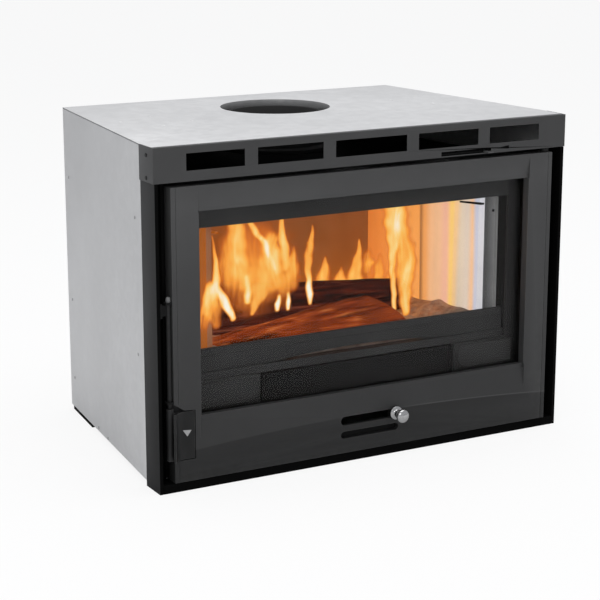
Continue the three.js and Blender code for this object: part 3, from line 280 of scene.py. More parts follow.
def shaped(name, body, points, faces, coat, smooth=True):
    """A new piece from points and faces, with its normals turned outwards."""
    mesh = bpy.data.meshes.new(name)
    mesh.from_pydata([tuple(map(float, p)) for p in points], [], faces)
    turned = bmesh.new()
    turned.from_mesh(mesh)
    bmesh.ops.remove_doubles(turned, verts=turned.verts, dist=1e-7)
    bmesh.ops.recalc_face_normals(turned, faces=turned.faces)
    turned.to_mesh(mesh)
    turned.free()
    mesh.materials.append(coat)
    mesh.polygons.foreach_set("use_smooth", np.full(len(mesh.polygons), smooth))
    piece = bpy.data.objects.new(name, mesh)
    bpy.context.scene.collection.objects.link(piece)
    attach(piece, body)
    return piece


# ------------------------------------------------------------------ rivets and screws
# Blind rivets join the casing's folds, and small zinc-plated screws hold the frame's flange.
# Each is a low head with a dimple, seated on its sheet.


def speckled(name, stops, grains=2500.0, height=0.2, mottle=300.0, **sockets):
    """A finish of one kind all over: its tone follows a fine mottle, over a fine bump."""
    made, tree, shader = finish(name, **sockets)
    fine_grain = placed(tree, grain, Grains=grains, Height=height, Mottle=mottle)
    feed(tree, shader, Base_Color=ramp(tree, fine_grain["Tone"], stops), Normal=fine_grain["Normal"])
    return made


rivet_steel = speckled("rivet_steel", [(0.3, 0.24), (0.7, 0.42)], Metallic=0.7, Roughness=0.4)
screw_black = speckled("screw_black", [(0.3, 0.006), (0.7, 0.014)], Roughness=0.5, Specular_IOR_Level=0.2)

side_start, side_end = 0.0474, 0.4544  # the casing's side, from the frame's flange to the back
casing_half = np.interp([0, 1], [0, 1], [0.350, 0.3028])


def on_side(depth, height, sign):
    """A point of the casing's side sheet at a depth behind the frame's front and a height."""
    half = np.interp(depth, [side_start, side_end], casing_half)
    return (sign * half, front_plane + depth, height)


side_slope = (casing_half[0] - casing_half[1]) / (side_end - side_start)
side_rivets = [(0.076, 0.3934), (0.074, 0.192), (0.2947, 0.0144), (0.2427, 0.0125), (0.430, 0.3934),
               (0.430, 0.192), (0.430, 0.060)]
for sign, side in ((-1, "left"), (1, "right")):
    for i, (depth, height) in enumerate(side_rivets):
        button(f"casing_rivet_{side}_{i + 1}", "root", on_side(depth, height, sign),
               (sign, side_slope, 0), 0.0024, 0.0009, rivet_steel)
    for i, (depth, height) in enumerate([(0.0225, 0.4908), (0.0231, 0.4586)]):
        button(f"flange_screw_{side}_{i + 1}", "root", (sign * 0.3515, front_plane + depth, height),
               (sign, 0, 0), 0.0030, 0.0010, screw_black)

top_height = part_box("casing_top")[1][2]
top_rivets = [(-0.2873, 0.2572), (-0.2243, 0.2889), (-0.1872, 0.2170), (-0.2489, 0.1878),
              (0.2030, 0.2745), (0.2531, 0.2831), (0.2427, 0.2093)]
for i, (x, depth) in enumerate(top_rivets):
    button(f"top_rivet_{i + 1}", "root", (x, front_plane + depth, top_height),
           (0, 0, 1), 0.0030, 0.0007, zinc)

# ------------------------------------------------------------------ front frame
# Two folded posts, a sill and the slotted header, all from sheet steel with a baked black coat.
# The coat is satin and finely textured, and is painted a little brighter along the folds, as wear and as
# highlight.


def black_coat(name, base, rough, grains=1400.0, height=0.06, edge=0.10, specular=0.3, painted_shade_down=(), painted_shade_aside=()):
    """Baked black paint: a mottled dark base, a fine texture and brighter edges, worn and painted as
    highlight.

    Its first list of stops, of (height in metres, share of the base), paints shade that darkens the coat
    downwards, and its second, the same by the distance from the middle of the insert, paints shade sideways.
    """
    made, tree, shader = finish(name, Specular_IOR_Level=specular)
    coat_grain = placed(tree, grain, Grains=grains, Height=height, Mottle=9.0)
    mask = placed(tree, edge_wear_and_highlight, Reach=0.0014, Break=90.0)["Mask"]
    colour = ramp(tree, coat_grain["Tone"], [(0.25, base * 0.88), (0.75, base * 1.12)])
    for axis, stops in ((2, painted_shade_down), (0, painted_shade_aside)):
        if stops:
            far = added(tree, "ShaderNodeSeparateXYZ", {
                "Vector": added(tree, "ShaderNodeTexCoord").outputs["Object"]}).outputs[axis]
            doubled = worked(tree, "ABSOLUTE", worked(tree, "MULTIPLY", far, 2.0))
            shade = ramp(tree, doubled, [(metres * 2, part) for metres, part in stops])
            colour = mixed(tree, 1.0, colour, shade, "MULTIPLY")
    colour = mixed(tree, mask, colour, (edge, edge, edge * 0.98))
    feed(tree, shader,
         Base_Color=colour,
         Roughness=worked(tree, "MULTIPLY_ADD", coat_grain["Tone"], 0.16, rough - 0.08),
         Normal=coat_grain["Normal"])
    return made


frame_black = black_coat("frame_black", 0.045, 0.46, height=0.03, edge=0.11)
# The posts' outer sides are painted darker towards the bottom, as shade that deepens downwards.
post_black_painted_shade = black_coat(
    "post_black_painted_shade", 0.018, 0.55, edge=0.03, specular=0.2,
    painted_shade_down=[(0.0, 0.22), (0.12, 0.28), (0.25, 0.80), (0.46, 1.0)])
# A near-black coat paints shade: on the sill under the door, on the posts' and header's inner faces and
# slots, and on the rear feet. The lever's mark uses it too.
black_and_painted_shade = black_coat("black_and_painted_shade", 0.0015, 0.7, edge=0.006, specular=0.04)
for side in ("left", "right"):
    dressed(
        f"frame_post_{side}", "root", post_black_painted_shade, inner=black_and_painted_shade,
        outside=lambda centres, normals: (np.abs(normals[:, 0]) > 0.9) & (np.abs(centres[:, 0]) > 0.3496))
dressed(
    "header_grille", "root", frame_black, inner=black_and_painted_shade,
    outside=lambda centres, normals: (
        (centres[:, 1] < front_plane + 0.0005) | (np.abs(centres[:, 0]) > 0.3512)
        | (centres[:, 2] > top_height - 0.0005)))
dressed("frame_sill", "root", black_and_painted_shade)
for side in ("left", "right"):
    dressed(f"foot_rear_{side}", "root", black_and_painted_shade, bevel=0.001)

lever_steel = black_coat("lever_steel", 0.06, 0.4, edge=0.25)
# The inner coat is the black paint darkened further, as painted shade on parts inside the firebox and in the
# door's recesses.
inner_black_painted_shade = black_coat("inner_black_painted_shade", 0.006, 0.7, height=0.1, edge=0.02, specular=0.12)
dressed("air_wash_lever", "air_wash", lever_steel, bevel=0.0004)
for node in ("air_wash_slide", "air_wash_guide"):
    coated(node, inner_black_painted_shade)


def flat_mark(name, body, outline, depth, thickness, coat):
    """A thin raised mark: an outline in x and z on the plane y = depth, given a thickness."""
    flat = [(x, depth, z) for x, z in outline]
    raised = [(x, depth - thickness, z) for x, z in outline]
    n = len(outline)
    faces = [tuple(range(n)), tuple(reversed(range(n, 2 * n)))]
    faces += [(i, (i + 1) % n, n + (i + 1) % n, n + i) for i in range(n)]
    return shaped(name, body, flat + raised, faces, coat, smooth=False)


# A wedge beside the lever shows which way opens the air.
mark_silver = speckled("mark_silver", [(0.2, 0.28), (0.8, 0.40)], grains=3000.0, height=0.05,
                       mottle=200.0, Metallic=0.2, Roughness=0.45)
flat_mark("lever_mark", "root", [(0.222, 0.4592), (0.245, 0.4575), (0.245, 0.4628)],
          front_plane, 0.0003, black_and_painted_shade)

# ------------------------------------------------------------------ firebox
# The inner box is welded from 4 mm plate, blackened by heat, and its near-black coat also paints the shade
# inside it.
# Its front plate frames the mouth and carries the raised rim for the door's rope, and the flue spigot stands
# on its roof.

for node in ("firebox_left", "firebox_right", "firebox_back", "firebox_floor", "firebox_roof",
             "support_rail_left", "support_rail_right", "ash_guide_left", "ash_guide_right", "ash_pan"):
    coated(node, inner_black_painted_shade)
# The front plate's coat is painted darker downwards below the mouth and sideways beyond it, as shade.
front_black_painted_shade = black_coat(
    "firebox_front_black", 0.028, 0.6, grains=260.0, height=0.02, edge=0.03, specular=0.15,
    painted_shade_down=[(0.09, 0.35), (0.115, 0.55), (0.15, 1.0)],
    painted_shade_aside=[(0.267, 1.0), (0.269, 0.5), (0.29, 0.35), (0.31, 0.05)])
dressed("firebox_front", "root", front_black_painted_shade, bevel=0.0006)
iron_black = black_coat("iron_black", 0.026, 0.65, grains=260.0, height=0.03, edge=0.05, specular=0.15)
coated("hearth_plate", iron_black)
coated("grate", iron_black)
dressed("flue_spigot", "root", iron_black, bevel=0.0008)
for side in ("left", "right"):
    dressed(f"fire_cheek_{side}", "root", iron_black, bevel=0.0012, segments=3)

# The light of the fire on a surface: 1 at the heart of the flames, falling off with distance.
glow, glow_in, glow_out = effect("fire_glow", {"Reach": 0.3}, {"Glow": "Float"})
fire_heart = (0.0, front_plane + 0.19, 0.27)
from_heart = added(glow, "ShaderNodeVectorMath", {
    0: added(glow, "ShaderNodeTexCoord").outputs["Object"], 1: fire_heart}, operation="SUBTRACT")
squeezed = added(glow, "ShaderNodeVectorMath", {
    0: from_heart.outputs[0], 1: (0.55, 1.0, 1.0)}, operation="MULTIPLY")
distance = added(glow, "ShaderNodeVectorMath", {0: squeezed.outputs[0]}, operation="LENGTH").outputs["Value"]
fall_off = worked(glow, "SUBTRACT", 1.0, worked(glow, "DIVIDE", distance, glow_in["Reach"]))
glow.links.new(worked(glow, "POWER", worked(glow, "MAXIMUM", fall_off, 0.0), 1.2), glow_out["Glow"])

# ------------------------------------------------------------------ lining
# Pressed vermiculite boards line the sides and back, pale and faintly speckled. The fire's light on them is
# painted in as glow; the front of each right board is painted in cooler light, and of each left one in brown
# shade.


def lining_painted_firelight(name, firelight_stops, axis, low, high, strength):
    """Board with the fire's light painted on as glow: its colour runs along one axis, broken into soft
    upright bands.
    """
    made, tree, shader = finish(name, Roughness=0.85, Emission_Strength=strength)
    where = added(tree, "ShaderNodeTexCoord").outputs["Object"]
    along = added(tree, "ShaderNodeSeparateXYZ", {"Vector": where}).outputs[axis]
    share = added(tree, "ShaderNodeMapRange", {
        "Value": along, "From Min": low, "From Max": high, "To Min": 0.0, "To Max": 1.0}).outputs[0]
    bands = added(tree, "ShaderNodeTexNoise", {
        "Vector": added(tree, "ShaderNodeMapping", {
            "Vector": where, "Scale": (26.0, 26.0, 1.2)}).outputs[0],
        "Scale": 1.0, "Detail": 2.0, "Roughness": 0.45})
    drift = worked(tree, "MULTIPLY_ADD", bands.outputs["Fac"], 0.10, -0.05)
    firelight_tint = ramp(tree, worked(tree, "ADD", share, drift), firelight_stops, smooth=True)
    speck = added(tree, "ShaderNodeTexVoronoi", {"Vector": where, "Scale": 420.0, "Randomness": 1.0})
    board_grain = placed(tree, grain, Grains=500.0, Height=0.5, Mottle=20.0)
    flecks = ramp(tree, speck.outputs["Distance"], [(0.0, 0.86), (0.5, 1.0)])
    shade = ramp(tree, bands.outputs["Fac"], [(0.3, 0.86), (0.72, 1.06)])
    lit = mixed(tree, 1.0, mixed(tree, 1.0, firelight_tint, shade, "MULTIPLY"), flecks, "MULTIPLY")
    feed(tree, shader,
         Base_Color=ramp(tree, board_grain["Tone"], [(0.3, (0.16, 0.11, 0.06)), (0.7, (0.22, 0.16, 0.09))]),
         Emission_Color=lit, Normal=board_grain["Normal"])
    return made


board_front, board_back = front_plane + 0.060, front_plane + 0.344
# The right boards are the lit copy; the left boards are the shaded copy, their front faces painted brown as
# shade.
lit_side_board = lining_painted_firelight("lit_side_board", [
    (0.006, linear((206, 208, 216))), (0.024, linear((196, 201, 220))), (0.060, linear((245, 196, 152))),
    (0.10, linear((222, 205, 190))), (0.15, linear((224, 206, 184))), (0.185, linear((251, 206, 150))),
    (0.235, linear((255, 208, 116))), (0.285, linear((242, 182, 156))), (0.34, linear((249, 194, 148))),
    (0.40, linear((249, 190, 140))), (0.46, linear((248, 166, 92))), (0.500, linear((164, 104, 56))),
    (0.512, linear((255, 166, 82))), (1.0, linear((236, 130, 50)))], 1, board_front, board_back, 0.92)
shaded_board = lining_painted_firelight("shaded_board", [
    (0.0, linear((120, 58, 26))), (0.012, linear((128, 62, 28))), (0.03, linear((246, 190, 140))),
    (0.29, linear((255, 208, 118))), (0.512, linear((254, 166, 78))), (1.0, linear((226, 120, 40)))],
    1, board_front, board_back, 0.92)
back_board = lining_painted_firelight("back_board", [
    (0.0, linear((168, 84, 6))), (0.45, linear((134, 62, 4))), (1.0, linear((112, 56, 22)))],
    2, 0.17, 0.38, 0.67)
for side, board in (("left", shaded_board), ("right", lit_side_board)):
    for part in ("front", "rear"):
        dressed(f"lining_{side}_{part}", "root", board, bevel=0.0012)
dressed("lining_back", "root", back_board, bevel=0.0012)
roof_board = lining_painted_firelight("roof_board", [
    (0.0, linear((150, 96, 50))), (1.0, linear((70, 36, 16)))], 1, board_front, board_back, 0.6)
dressed("baffle_plate", "root", roof_board, bevel=0.0012)
coated("air_deflector", front_black_painted_shade)

# The angle strips are bare steel, each held by two screws. The fire's light on them is painted in as glow,
# orange on the left.


def strip_finish(name, low, high, firelight_tint, glowing):
    """Steel strip: its tone runs across its width, from the board's side to the outer edge, and glows as
    painted firelight.
    """
    made, tree, shader = finish(name, Roughness=0.7, Specular_IOR_Level=0.1, Emission_Strength=glowing)
    strip_grain = placed(tree, grain, Grains=1200.0, Height=0.08, Mottle=26.0)
    strip_wear_and_highlight = placed(tree, edge_wear_and_highlight, Reach=0.0018, Break=80.0)["Mask"]
    across = added(tree, "ShaderNodeSeparateXYZ", {
        "Vector": added(tree, "ShaderNodeTexCoord").outputs["Object"]}).outputs[0]
    share = added(tree, "ShaderNodeMapRange", {
        "Value": worked(tree, "ABSOLUTE", across), "From Min": 0.2442, "From Max": 0.2647}).outputs[0]
    tone = ramp(tree, share, [(0.0, low), (0.5, (low + high) * 0.48), (1.0, high)])
    tone = mixed(tree, 1.0, mixed(tree, 1.0, tone, firelight_tint, "MULTIPLY"), ramp(
        tree, strip_grain["Tone"], [(0.3, 0.9), (0.7, 1.06)]), "MULTIPLY")
    tone = mixed(tree, strip_wear_and_highlight, tone, tuple(0.5 * part for part in firelight_tint))
    feed(tree, shader, Base_Color=mixed(tree, 1.0, tone, (0.7, 0.7, 0.7), "MULTIPLY"), Emission_Color=tone,
         Normal=strip_grain["Normal"])
    return made


strip_steel = strip_finish("strip_steel", 0.07, 0.23, (1.0, 1.0, 1.0), 0.3)
strip_orange_firelight = strip_finish("strip_orange_firelight", 0.33, 0.33, (1.0, 0.27, 0.03), 0.8)
for sign, side, steel in ((-1, "left", strip_orange_firelight), (1, "right", strip_steel)):
    dressed(f"lining_strip_{side}", "root", steel, bevel=0.0004)
    low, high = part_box(f"lining_strip_{side}")
    for i, height in enumerate((low[2] + 0.022, high[2] - 0.022)):
        button(f"strip_screw_{side}_{i + 1}", "root",
               (sign * 0.2595, front_plane + 0.0577, height), (0, -1, 0), 0.0026, 0.0008, screw_black)

# Each side board carries a thin ledge under the deflector's ends: the right one painted near-black as shade,
# the left one orange as painted firelight.
ledge_inner, ledge_width, ledge_thickness = 0.229, 0.006, 0.003
ledge_ends = ((0.130, 0.355), (0.048, 0.363))  # depth and height of its back and its front end
ledge_faces = [(0, 1, 3, 2), (4, 5, 7, 6), (0, 1, 5, 4), (2, 3, 7, 6), (0, 2, 6, 4), (1, 3, 7, 5)]
for sign, side, coat in ((-1, "left", strip_orange_firelight), (1, "right", inner_black_painted_shade)):
    ledge = [(sign * (ledge_inner + ledge_width * out), front_plane + depth, height + ledge_thickness * top)
             for out in (0, 1) for depth, height in ledge_ends for top in (0, 1)]
    shaped(f"lining_ledge_{side}", "root", ledge, ledge_faces, coat, smooth=False)

# ------------------------------------------------------------------ fence
# A cast iron bar keeps the logs off the glass. Its face is ribbed with shallow upright fins.

dressed("fire_fence", "root", iron_black, bevel=0.0009, segments=3)

# ------------------------------------------------------------------ logs
# Two split logs lie on the hearth: the front one scorched and glowing along its grain, the
# rear one charred through. Their glow is partly the burning wood's own and partly the fire's light painted on
# it.
# Each is a long surface round an axis, with flat sawn ends.


def grid_faces(rows, columns, closed=False, looped=False, inwards=False):
    """Quads over a grid of points that is stored row by row.

    closed joins the last column to the first, looped the last row to the first, and inwards turns
    each quad the other way round.
    """
    row = np.arange(rows if looped else rows - 1)[:, None]
    column = np.arange(columns if closed else columns - 1)[None, :]
    here, after, beside = row * columns, (row + 1) % rows * columns, (column + 1) % columns
    corners = [here + column, here + beside, after + beside, after + column]
    if inwards:
        corners = [corners[0], corners[3], corners[2], corners[1]]
    return np.stack(corners, axis=-1).reshape(-1, 4)


def split_log(name, node, ends, radii, flats, lobes, seed, coat, far_end=None, rings=110, around=72):
    """A split log on the hearth.

    Round the axis the section is a rounded polygon: radius = (sum of max(0, cos(angle - flat) /
    distance) ^ 7) ^ (-1/7) over its flats. Along it the radius follows its (share, metres) knots,
    with slow waves, and grain ridges are fine waves round the section that drift along the log.
    The end rings shrink to a point to close the ends. A far_end (x, reach, height) is split at a
    slant: it stands at x + reach * (1 - height above the hearth / height) ^ 0.6.
    """
    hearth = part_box(node)[0][2]
    random = np.random.default_rng(seed)
    angle = np.linspace(0, 2 * math.pi, around, endpoint=False)
    cap = np.array([0.0, 0.35, 0.7, 0.93])
    t = np.concatenate([np.zeros(4), np.linspace(0, 1, rings), np.ones(4)])
    size = np.concatenate([cap, np.ones(rings), cap[::-1]])
    section = sum(np.maximum(0, np.cos(angle - math.radians(a))) ** 7 / d**7 for a, d in flats) ** (-1 / 7)
    phases = random.uniform(0, 2 * math.pi, 12)
    drift = lobes * t[:, None]
    ridges = sum(
        0.011 / (k * 0.35 + 1) * np.sin((6 + 5 * k) * angle[None, :] + phases[k] + drift * (k + 1))
        for k in range(6))
    waves = sum(0.018 / (k + 1) * np.sin((2 + 3 * k) * math.pi * t + phases[6 + k]) for k in range(5))
    radius = np.interp(t, *zip(*radii))
    spread = size[:, None] * radius[:, None] * (section[None, :] * (1 + waves[:, None] + ridges))
    (x0, y0), (x1, y1) = ends
    height = np.maximum(0, radius[:, None] * 0.98 + spread * np.sin(angle)[None, :])
    end = np.full_like(height, x1)
    if far_end:
        end = far_end[0] + far_end[1] * np.maximum(0, 1 - height / far_end[2]) ** 0.6
    x = x0 + (end - x0) * t[:, None]
    y = (y0 + (y1 - y0) * t)[:, None] + spread * np.cos(angle)[None, :]
    points = np.stack([x, y, hearth + height], axis=-1).reshape(-1, 3)
    faces = grid_faces(len(t), around, closed=True, inwards=True)
    piece = shaped(name, "root", points, faces.tolist(), coat)
    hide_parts(node)
    return piece


def log_finish(name, along, glow_stops, char_stops, strength):
    """Burning wood: grain drawn out along the log, dark cracks, and a glow that follows the grain, partly its
    own and partly painted firelight.
    """
    made, tree, shader = finish(name, Roughness=1.0, Specular_IOR_Level=0.05, Emission_Strength=strength)
    where = added(tree, "ShaderNodeTexCoord").outputs["Object"]
    stretched = added(tree, "ShaderNodeMapping", {
        "Vector": where, "Rotation": (0.0, along, 0.0), "Scale": (9.0, 120.0, 120.0)}).outputs[0]
    fibre = added(tree, "ShaderNodeTexNoise", {
        "Vector": stretched, "Scale": 1.0, "Detail": 6.0, "Roughness": 0.68, "Distortion": 0.4})
    crack = added(tree, "ShaderNodeTexNoise", {
        "Vector": added(tree, "ShaderNodeMapping", {
            "Vector": where, "Rotation": (0.0, along, 0.0), "Scale": (5.0, 55.0, 55.0)}).outputs[0],
        "Scale": 1.0, "Detail": 4.0, "Roughness": 0.6})
    patches = added(tree, "ShaderNodeTexNoise", {"Vector": where, "Scale": 17.0, "Detail": 3.0})
    fibre_tone = ramp(tree, fibre.outputs["Fac"], glow_stops)
    char = ramp(tree, crack.outputs["Fac"], [(0.36, 0.0), (0.46, 1.0)])
    dark = ramp(tree, patches.outputs["Fac"], char_stops)
    hot = mixed(tree, 1.0, mixed(tree, 1.0, fibre_tone, char, "MULTIPLY"), dark, "MULTIPLY")
    depth = worked(tree, "MULTIPLY_ADD", crack.outputs["Fac"], 0.7, worked(
        tree, "MULTIPLY", fibre.outputs["Fac"], 0.3))
    bump = added(tree, "ShaderNodeBump", {"Strength": 0.8, "Distance": 0.003, "Height": depth})
    feed(tree, shader, Base_Color=mixed(tree, 1.0, hot, (0.12, 0.12, 0.12), "MULTIPLY"), Emission_Color=hot,
         Normal=bump.outputs["Normal"])
    return made


front_log_wood = log_finish("front_log_wood", 0.0, [
    (0.30, linear((52, 13, 2))), (0.44, linear((116, 42, 10))), (0.57, linear((154, 66, 22))),
    (0.72, linear((226, 138, 66)))], [(0.34, 0.6), (0.52, 1.0)], 0.92)
rear_log_wood = log_finish("rear_log_wood", 0.0, [
    (0.34, linear((16, 4, 1))), (0.50, linear((62, 17, 6))), (0.62, linear((104, 40, 20))),
    (0.74, linear((170, 96, 66)))], [(0.36, 0.5), (0.60, 1.0)], 0.85)
split_log(
    "log_front_split", "log_front", ((-0.231, front_plane + 0.108), (0.128, front_plane + 0.112)),
    [(0, 0.0131), (0.125, 0.0160), (0.20, 0.0183), (0.395, 0.0214), (0.59, 0.0256), (0.79, 0.0293),
     (1, 0.0320)],
    [(-90, 0.98), (-12, 0.92), (62, 0.98), (118, 1.0), (196, 0.92)], 1.6, 3,
    front_log_wood, far_end=(0.036, 0.102, 0.068))
split_log(
    "log_rear_split", "log_rear", ((-0.172, front_plane + 0.222), (0.190, front_plane + 0.216)),
    [(0, 0.0420), (0.11, 0.0408), (0.22, 0.0384), (0.42, 0.0338), (0.59, 0.0331), (0.76, 0.0307),
     (1, 0.0272)],
    [(-90, 0.98), (-20, 0.94), (40, 0.96), (95, 0.99), (150, 0.96), (210, 0.94)], 2.3, 11, rear_log_wood)

# ------------------------------------------------------------------ ash and embers
# A shallow bed of ash over the hearth and its grate, heaped round the logs, with live embers.

hearth_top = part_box("hearth_plate")[1][2]
ash_depth = np.linspace(0.050, 0.340, 120)
ash_half = 0.2336 - 0.1163 * (ash_depth - 0.060)  # where the side boards stand at each depth
ash_share = np.linspace(-1, 1, 190)
grid_x = ash_share[None, :] * ash_half[:, None]
grid_y = np.repeat((front_plane + ash_depth)[:, None], len(ash_share), axis=1)
random = np.random.default_rng(5)
heaps = np.zeros_like(grid_x)
for cx, cy, spread_of, tall in zip(
        random.uniform(-0.22, 0.22, 320), random.uniform(grid_y[0, 0], grid_y[-1, 0], 320),
        random.uniform(0.004, 0.016, 320), random.uniform(0.001, 0.0048, 320)):
    heaps += tall * np.exp(-((grid_x - cx) ** 2 + (grid_y - cy) ** 2) / spread_of**2)
bank = np.interp(ash_depth, [0.050, 0.058, 0.076, 0.150, 0.202, 0.340],
                 [0.004, 0.019, 0.020, 0.020, 0.014, 0.012])  # its height against the side boards
bank_reach = 0.026
from_board = ash_half[:, None] - np.abs(grid_x)
ash_front = np.clip((ash_depth - 0.050) / 0.012, 0, 1)[:, None]
banked = bank[:, None] * np.exp(-((from_board / bank_reach) ** 2))
ash_height = hearth_top + 0.0006 + (0.003 + heaps) * ash_front + banked
ash_points = np.stack([grid_x, grid_y, ash_height], axis=-1).reshape(-1, 3)
ash_faces = grid_faces(*grid_x.shape)
# The bed's glow is partly its live embers and partly the fire's light painted on the ash; its front is
# painted darker, as shade under the front log and the fence.
ember_bed, ember_tree, ember_shader = finish("ember_bed", Roughness=0.95, Emission_Strength=0.7)
ember_where = added(ember_tree, "ShaderNodeTexCoord").outputs["Object"]
ember_noise = added(ember_tree, "ShaderNodeTexNoise", {
    "Vector": ember_where, "Scale": 60.0, "Detail": 5.0, "Roughness": 0.65})
ember_cells = added(ember_tree, "ShaderNodeTexVoronoi", {"Vector": ember_where, "Scale": 90.0})
firelight_on_ash = placed(ember_tree, glow, Reach=0.34)["Glow"]
ember_heat_and_firelight = worked(ember_tree, "MULTIPLY_ADD", firelight_on_ash, 0.55, worked(
    ember_tree, "MULTIPLY_ADD", ember_noise.outputs["Fac"], 0.9, -0.32))
ember_front_painted_shade = added(ember_tree, "ShaderNodeMapRange", {
    "Value": added(ember_tree, "ShaderNodeSeparateXYZ", {"Vector": ember_where}).outputs[1],
    "From Min": front_plane + 0.085, "From Max": front_plane + 0.135,
    "To Min": 0.06, "To Max": 1.0}).outputs[0]
ember_colour = ramp(ember_tree, ember_heat_and_firelight, [
    (0.08, linear((40, 18, 8))), (0.30, linear((122, 62, 24))), (0.50, linear((172, 96, 42))),
    (0.72, linear((244, 176, 110)))])
ash_grain = placed(ember_tree, grain, Grains=700.0, Height=0.8, Mottle=90.0)
feed(ember_tree, ember_shader,
     Base_Color=ramp(ember_tree, ash_grain["Tone"], [(0.3, (0.10, 0.08, 0.07)), (0.7, (0.30, 0.26, 0.23))]),
     Emission_Color=mixed(ember_tree, 1.0, mixed(ember_tree, 1.0, ember_colour, ramp(
         ember_tree, ember_cells.outputs["Distance"], [(0.1, 1.0), (0.7, 0.7)]), "MULTIPLY"),
         ember_front_painted_shade, "MULTIPLY"),
     Normal=ash_grain["Normal"])
ash_mesh = bpy.data.meshes.new("ash_bed")
ash_mesh.from_pydata(ash_points.tolist(), [], ash_faces.tolist())
ash_mesh.materials.append(ember_bed)
ash_mesh.polygons.foreach_set("use_smooth", np.ones(len(ash_mesh.polygons), bool))
ash_bed = bpy.data.objects.new("ash_bed", ash_mesh)
bpy.context.scene.collection.objects.link(ash_bed)
ash_skin = ash_bed.modifiers.new("depth", "SOLIDIFY")
ash_skin.thickness = 0.0005
ash_skin.offset = -1
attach(ash_bed, "root")

# ------------------------------------------------------------------ flames
# Flames stand over the logs in three wavy sheets: a small one before the front log, one between
# the logs and one behind the rear log. Heat is worked out at each point from a number of
# tongues, and the material reads it.


def flame_sheet(name, depth, tongues, sway, coat, span=(-0.228, 0.228), rise=(0.164, 0.381)):
    """A wavy upright sheet of flame.

    A tongue is a list of (x, height, half width, heat) knots from its foot to its tip, in
    millimetres. Its heat falls off as exp(-(distance / half width) ^ 3), where the distance counts
    sideways from the middle line and also below the foot and above the tip, so both are round.
    Where tongues meet, heat = (sum of heat ^ 4) ^ (1/4), so that each keeps its outline. Points
    without heat are cut away.
    """
    across, height = np.meshgrid(np.linspace(*span, 420) * 1000, np.linspace(*rise, 200) * 1000)
    heat = np.zeros_like(across)
    for tongue in tongues:
        x, z, half, hot = np.array(tongue).T
        width = np.interp(height, z, half)
        sideways = across - np.interp(height, z, x) - 0.08 * width * np.sin(height * 0.24 + x[0])
        beyond = np.maximum(0, z[0] - height) + 0.7 * np.maximum(0, height - z[-1])
        away = np.hypot(sideways, beyond) / width
        heat += (np.interp(height, z, hot) * np.exp(-(away**3))) ** 4
    heat **= 0.25
    y = depth + sway * np.sin(across * 0.034 + 1) + 0.5 * sway * np.sin(height * 0.055 + across * 0.020)
    points = np.stack([across / 1000, y, height / 1000], axis=-1).reshape(-1, 3)
    quads = grid_faces(*across.shape)
    quads = quads[heat.ravel()[quads].max(axis=1) > 0.05]
    used, renumbered = np.unique(quads, return_inverse=True)
    mesh = bpy.data.meshes.new(name)
    mesh.from_pydata(points[used].tolist(), [], renumbered.reshape(-1, 4).tolist())
    warmth = mesh.attributes.new("warmth", "FLOAT", "POINT")
    warmth.data.foreach_set("value", heat.ravel()[used].astype(np.float32))
    mesh.materials.append(coat)
    mesh.polygons.foreach_set("use_smooth", np.ones(len(mesh.polygons), bool))
    piece = bpy.data.objects.new(name, mesh)
    bpy.context.scene.collection.objects.link(piece)
    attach(piece, "root")
    return piece


flame, flame_tree, flame_shader = finish(
    "flame", Base_Color=(0.0, 0.0, 0.0), Roughness=1.0, Specular_IOR_Level=0.0, Emission_Strength=1.0)
flame_where = added(flame_tree, "ShaderNodeTexCoord").outputs["Object"]
licks = added(flame_tree, "ShaderNodeTexNoise", {
    "Vector": added(flame_tree, "ShaderNodeMapping", {
        "Vector": flame_where, "Scale": (70.0, 20.0, 16.0)}).outputs[0],
    "Scale": 1.0, "Detail": 4.0, "Roughness": 0.55, "Distortion": 0.9})
flame_heat = added(flame_tree, "ShaderNodeAttribute", attribute_name="warmth").outputs["Fac"]
broken_heat = worked(flame_tree, "MULTIPLY", flame_heat, worked(
    flame_tree, "MULTIPLY_ADD", licks.outputs["Fac"], 1.0, 0.50))
flame_colour = ramp(flame_tree, worked(flame_tree, "DIVIDE", broken_heat, 1.4), [
    (0.05, linear((176, 74, 18))), (0.24, linear((226, 116, 40))), (0.40, linear((252, 162, 62))),
    (0.54, linear((255, 190, 92))), (0.68, linear((255, 216, 136))), (0.95, linear((255, 248, 232)))])
flame_alpha = added(flame_tree, "ShaderNodeMapRange", {
    "Value": broken_heat, "From Min": 0.08, "From Max": 0.60, "To Min": 0.0, "To Max": 0.97},
    interpolation_type="SMOOTHSTEP").outputs[0]
feed(flame_tree, flame_shader, Emission_Color=flame_colour, Alpha=flame_alpha)

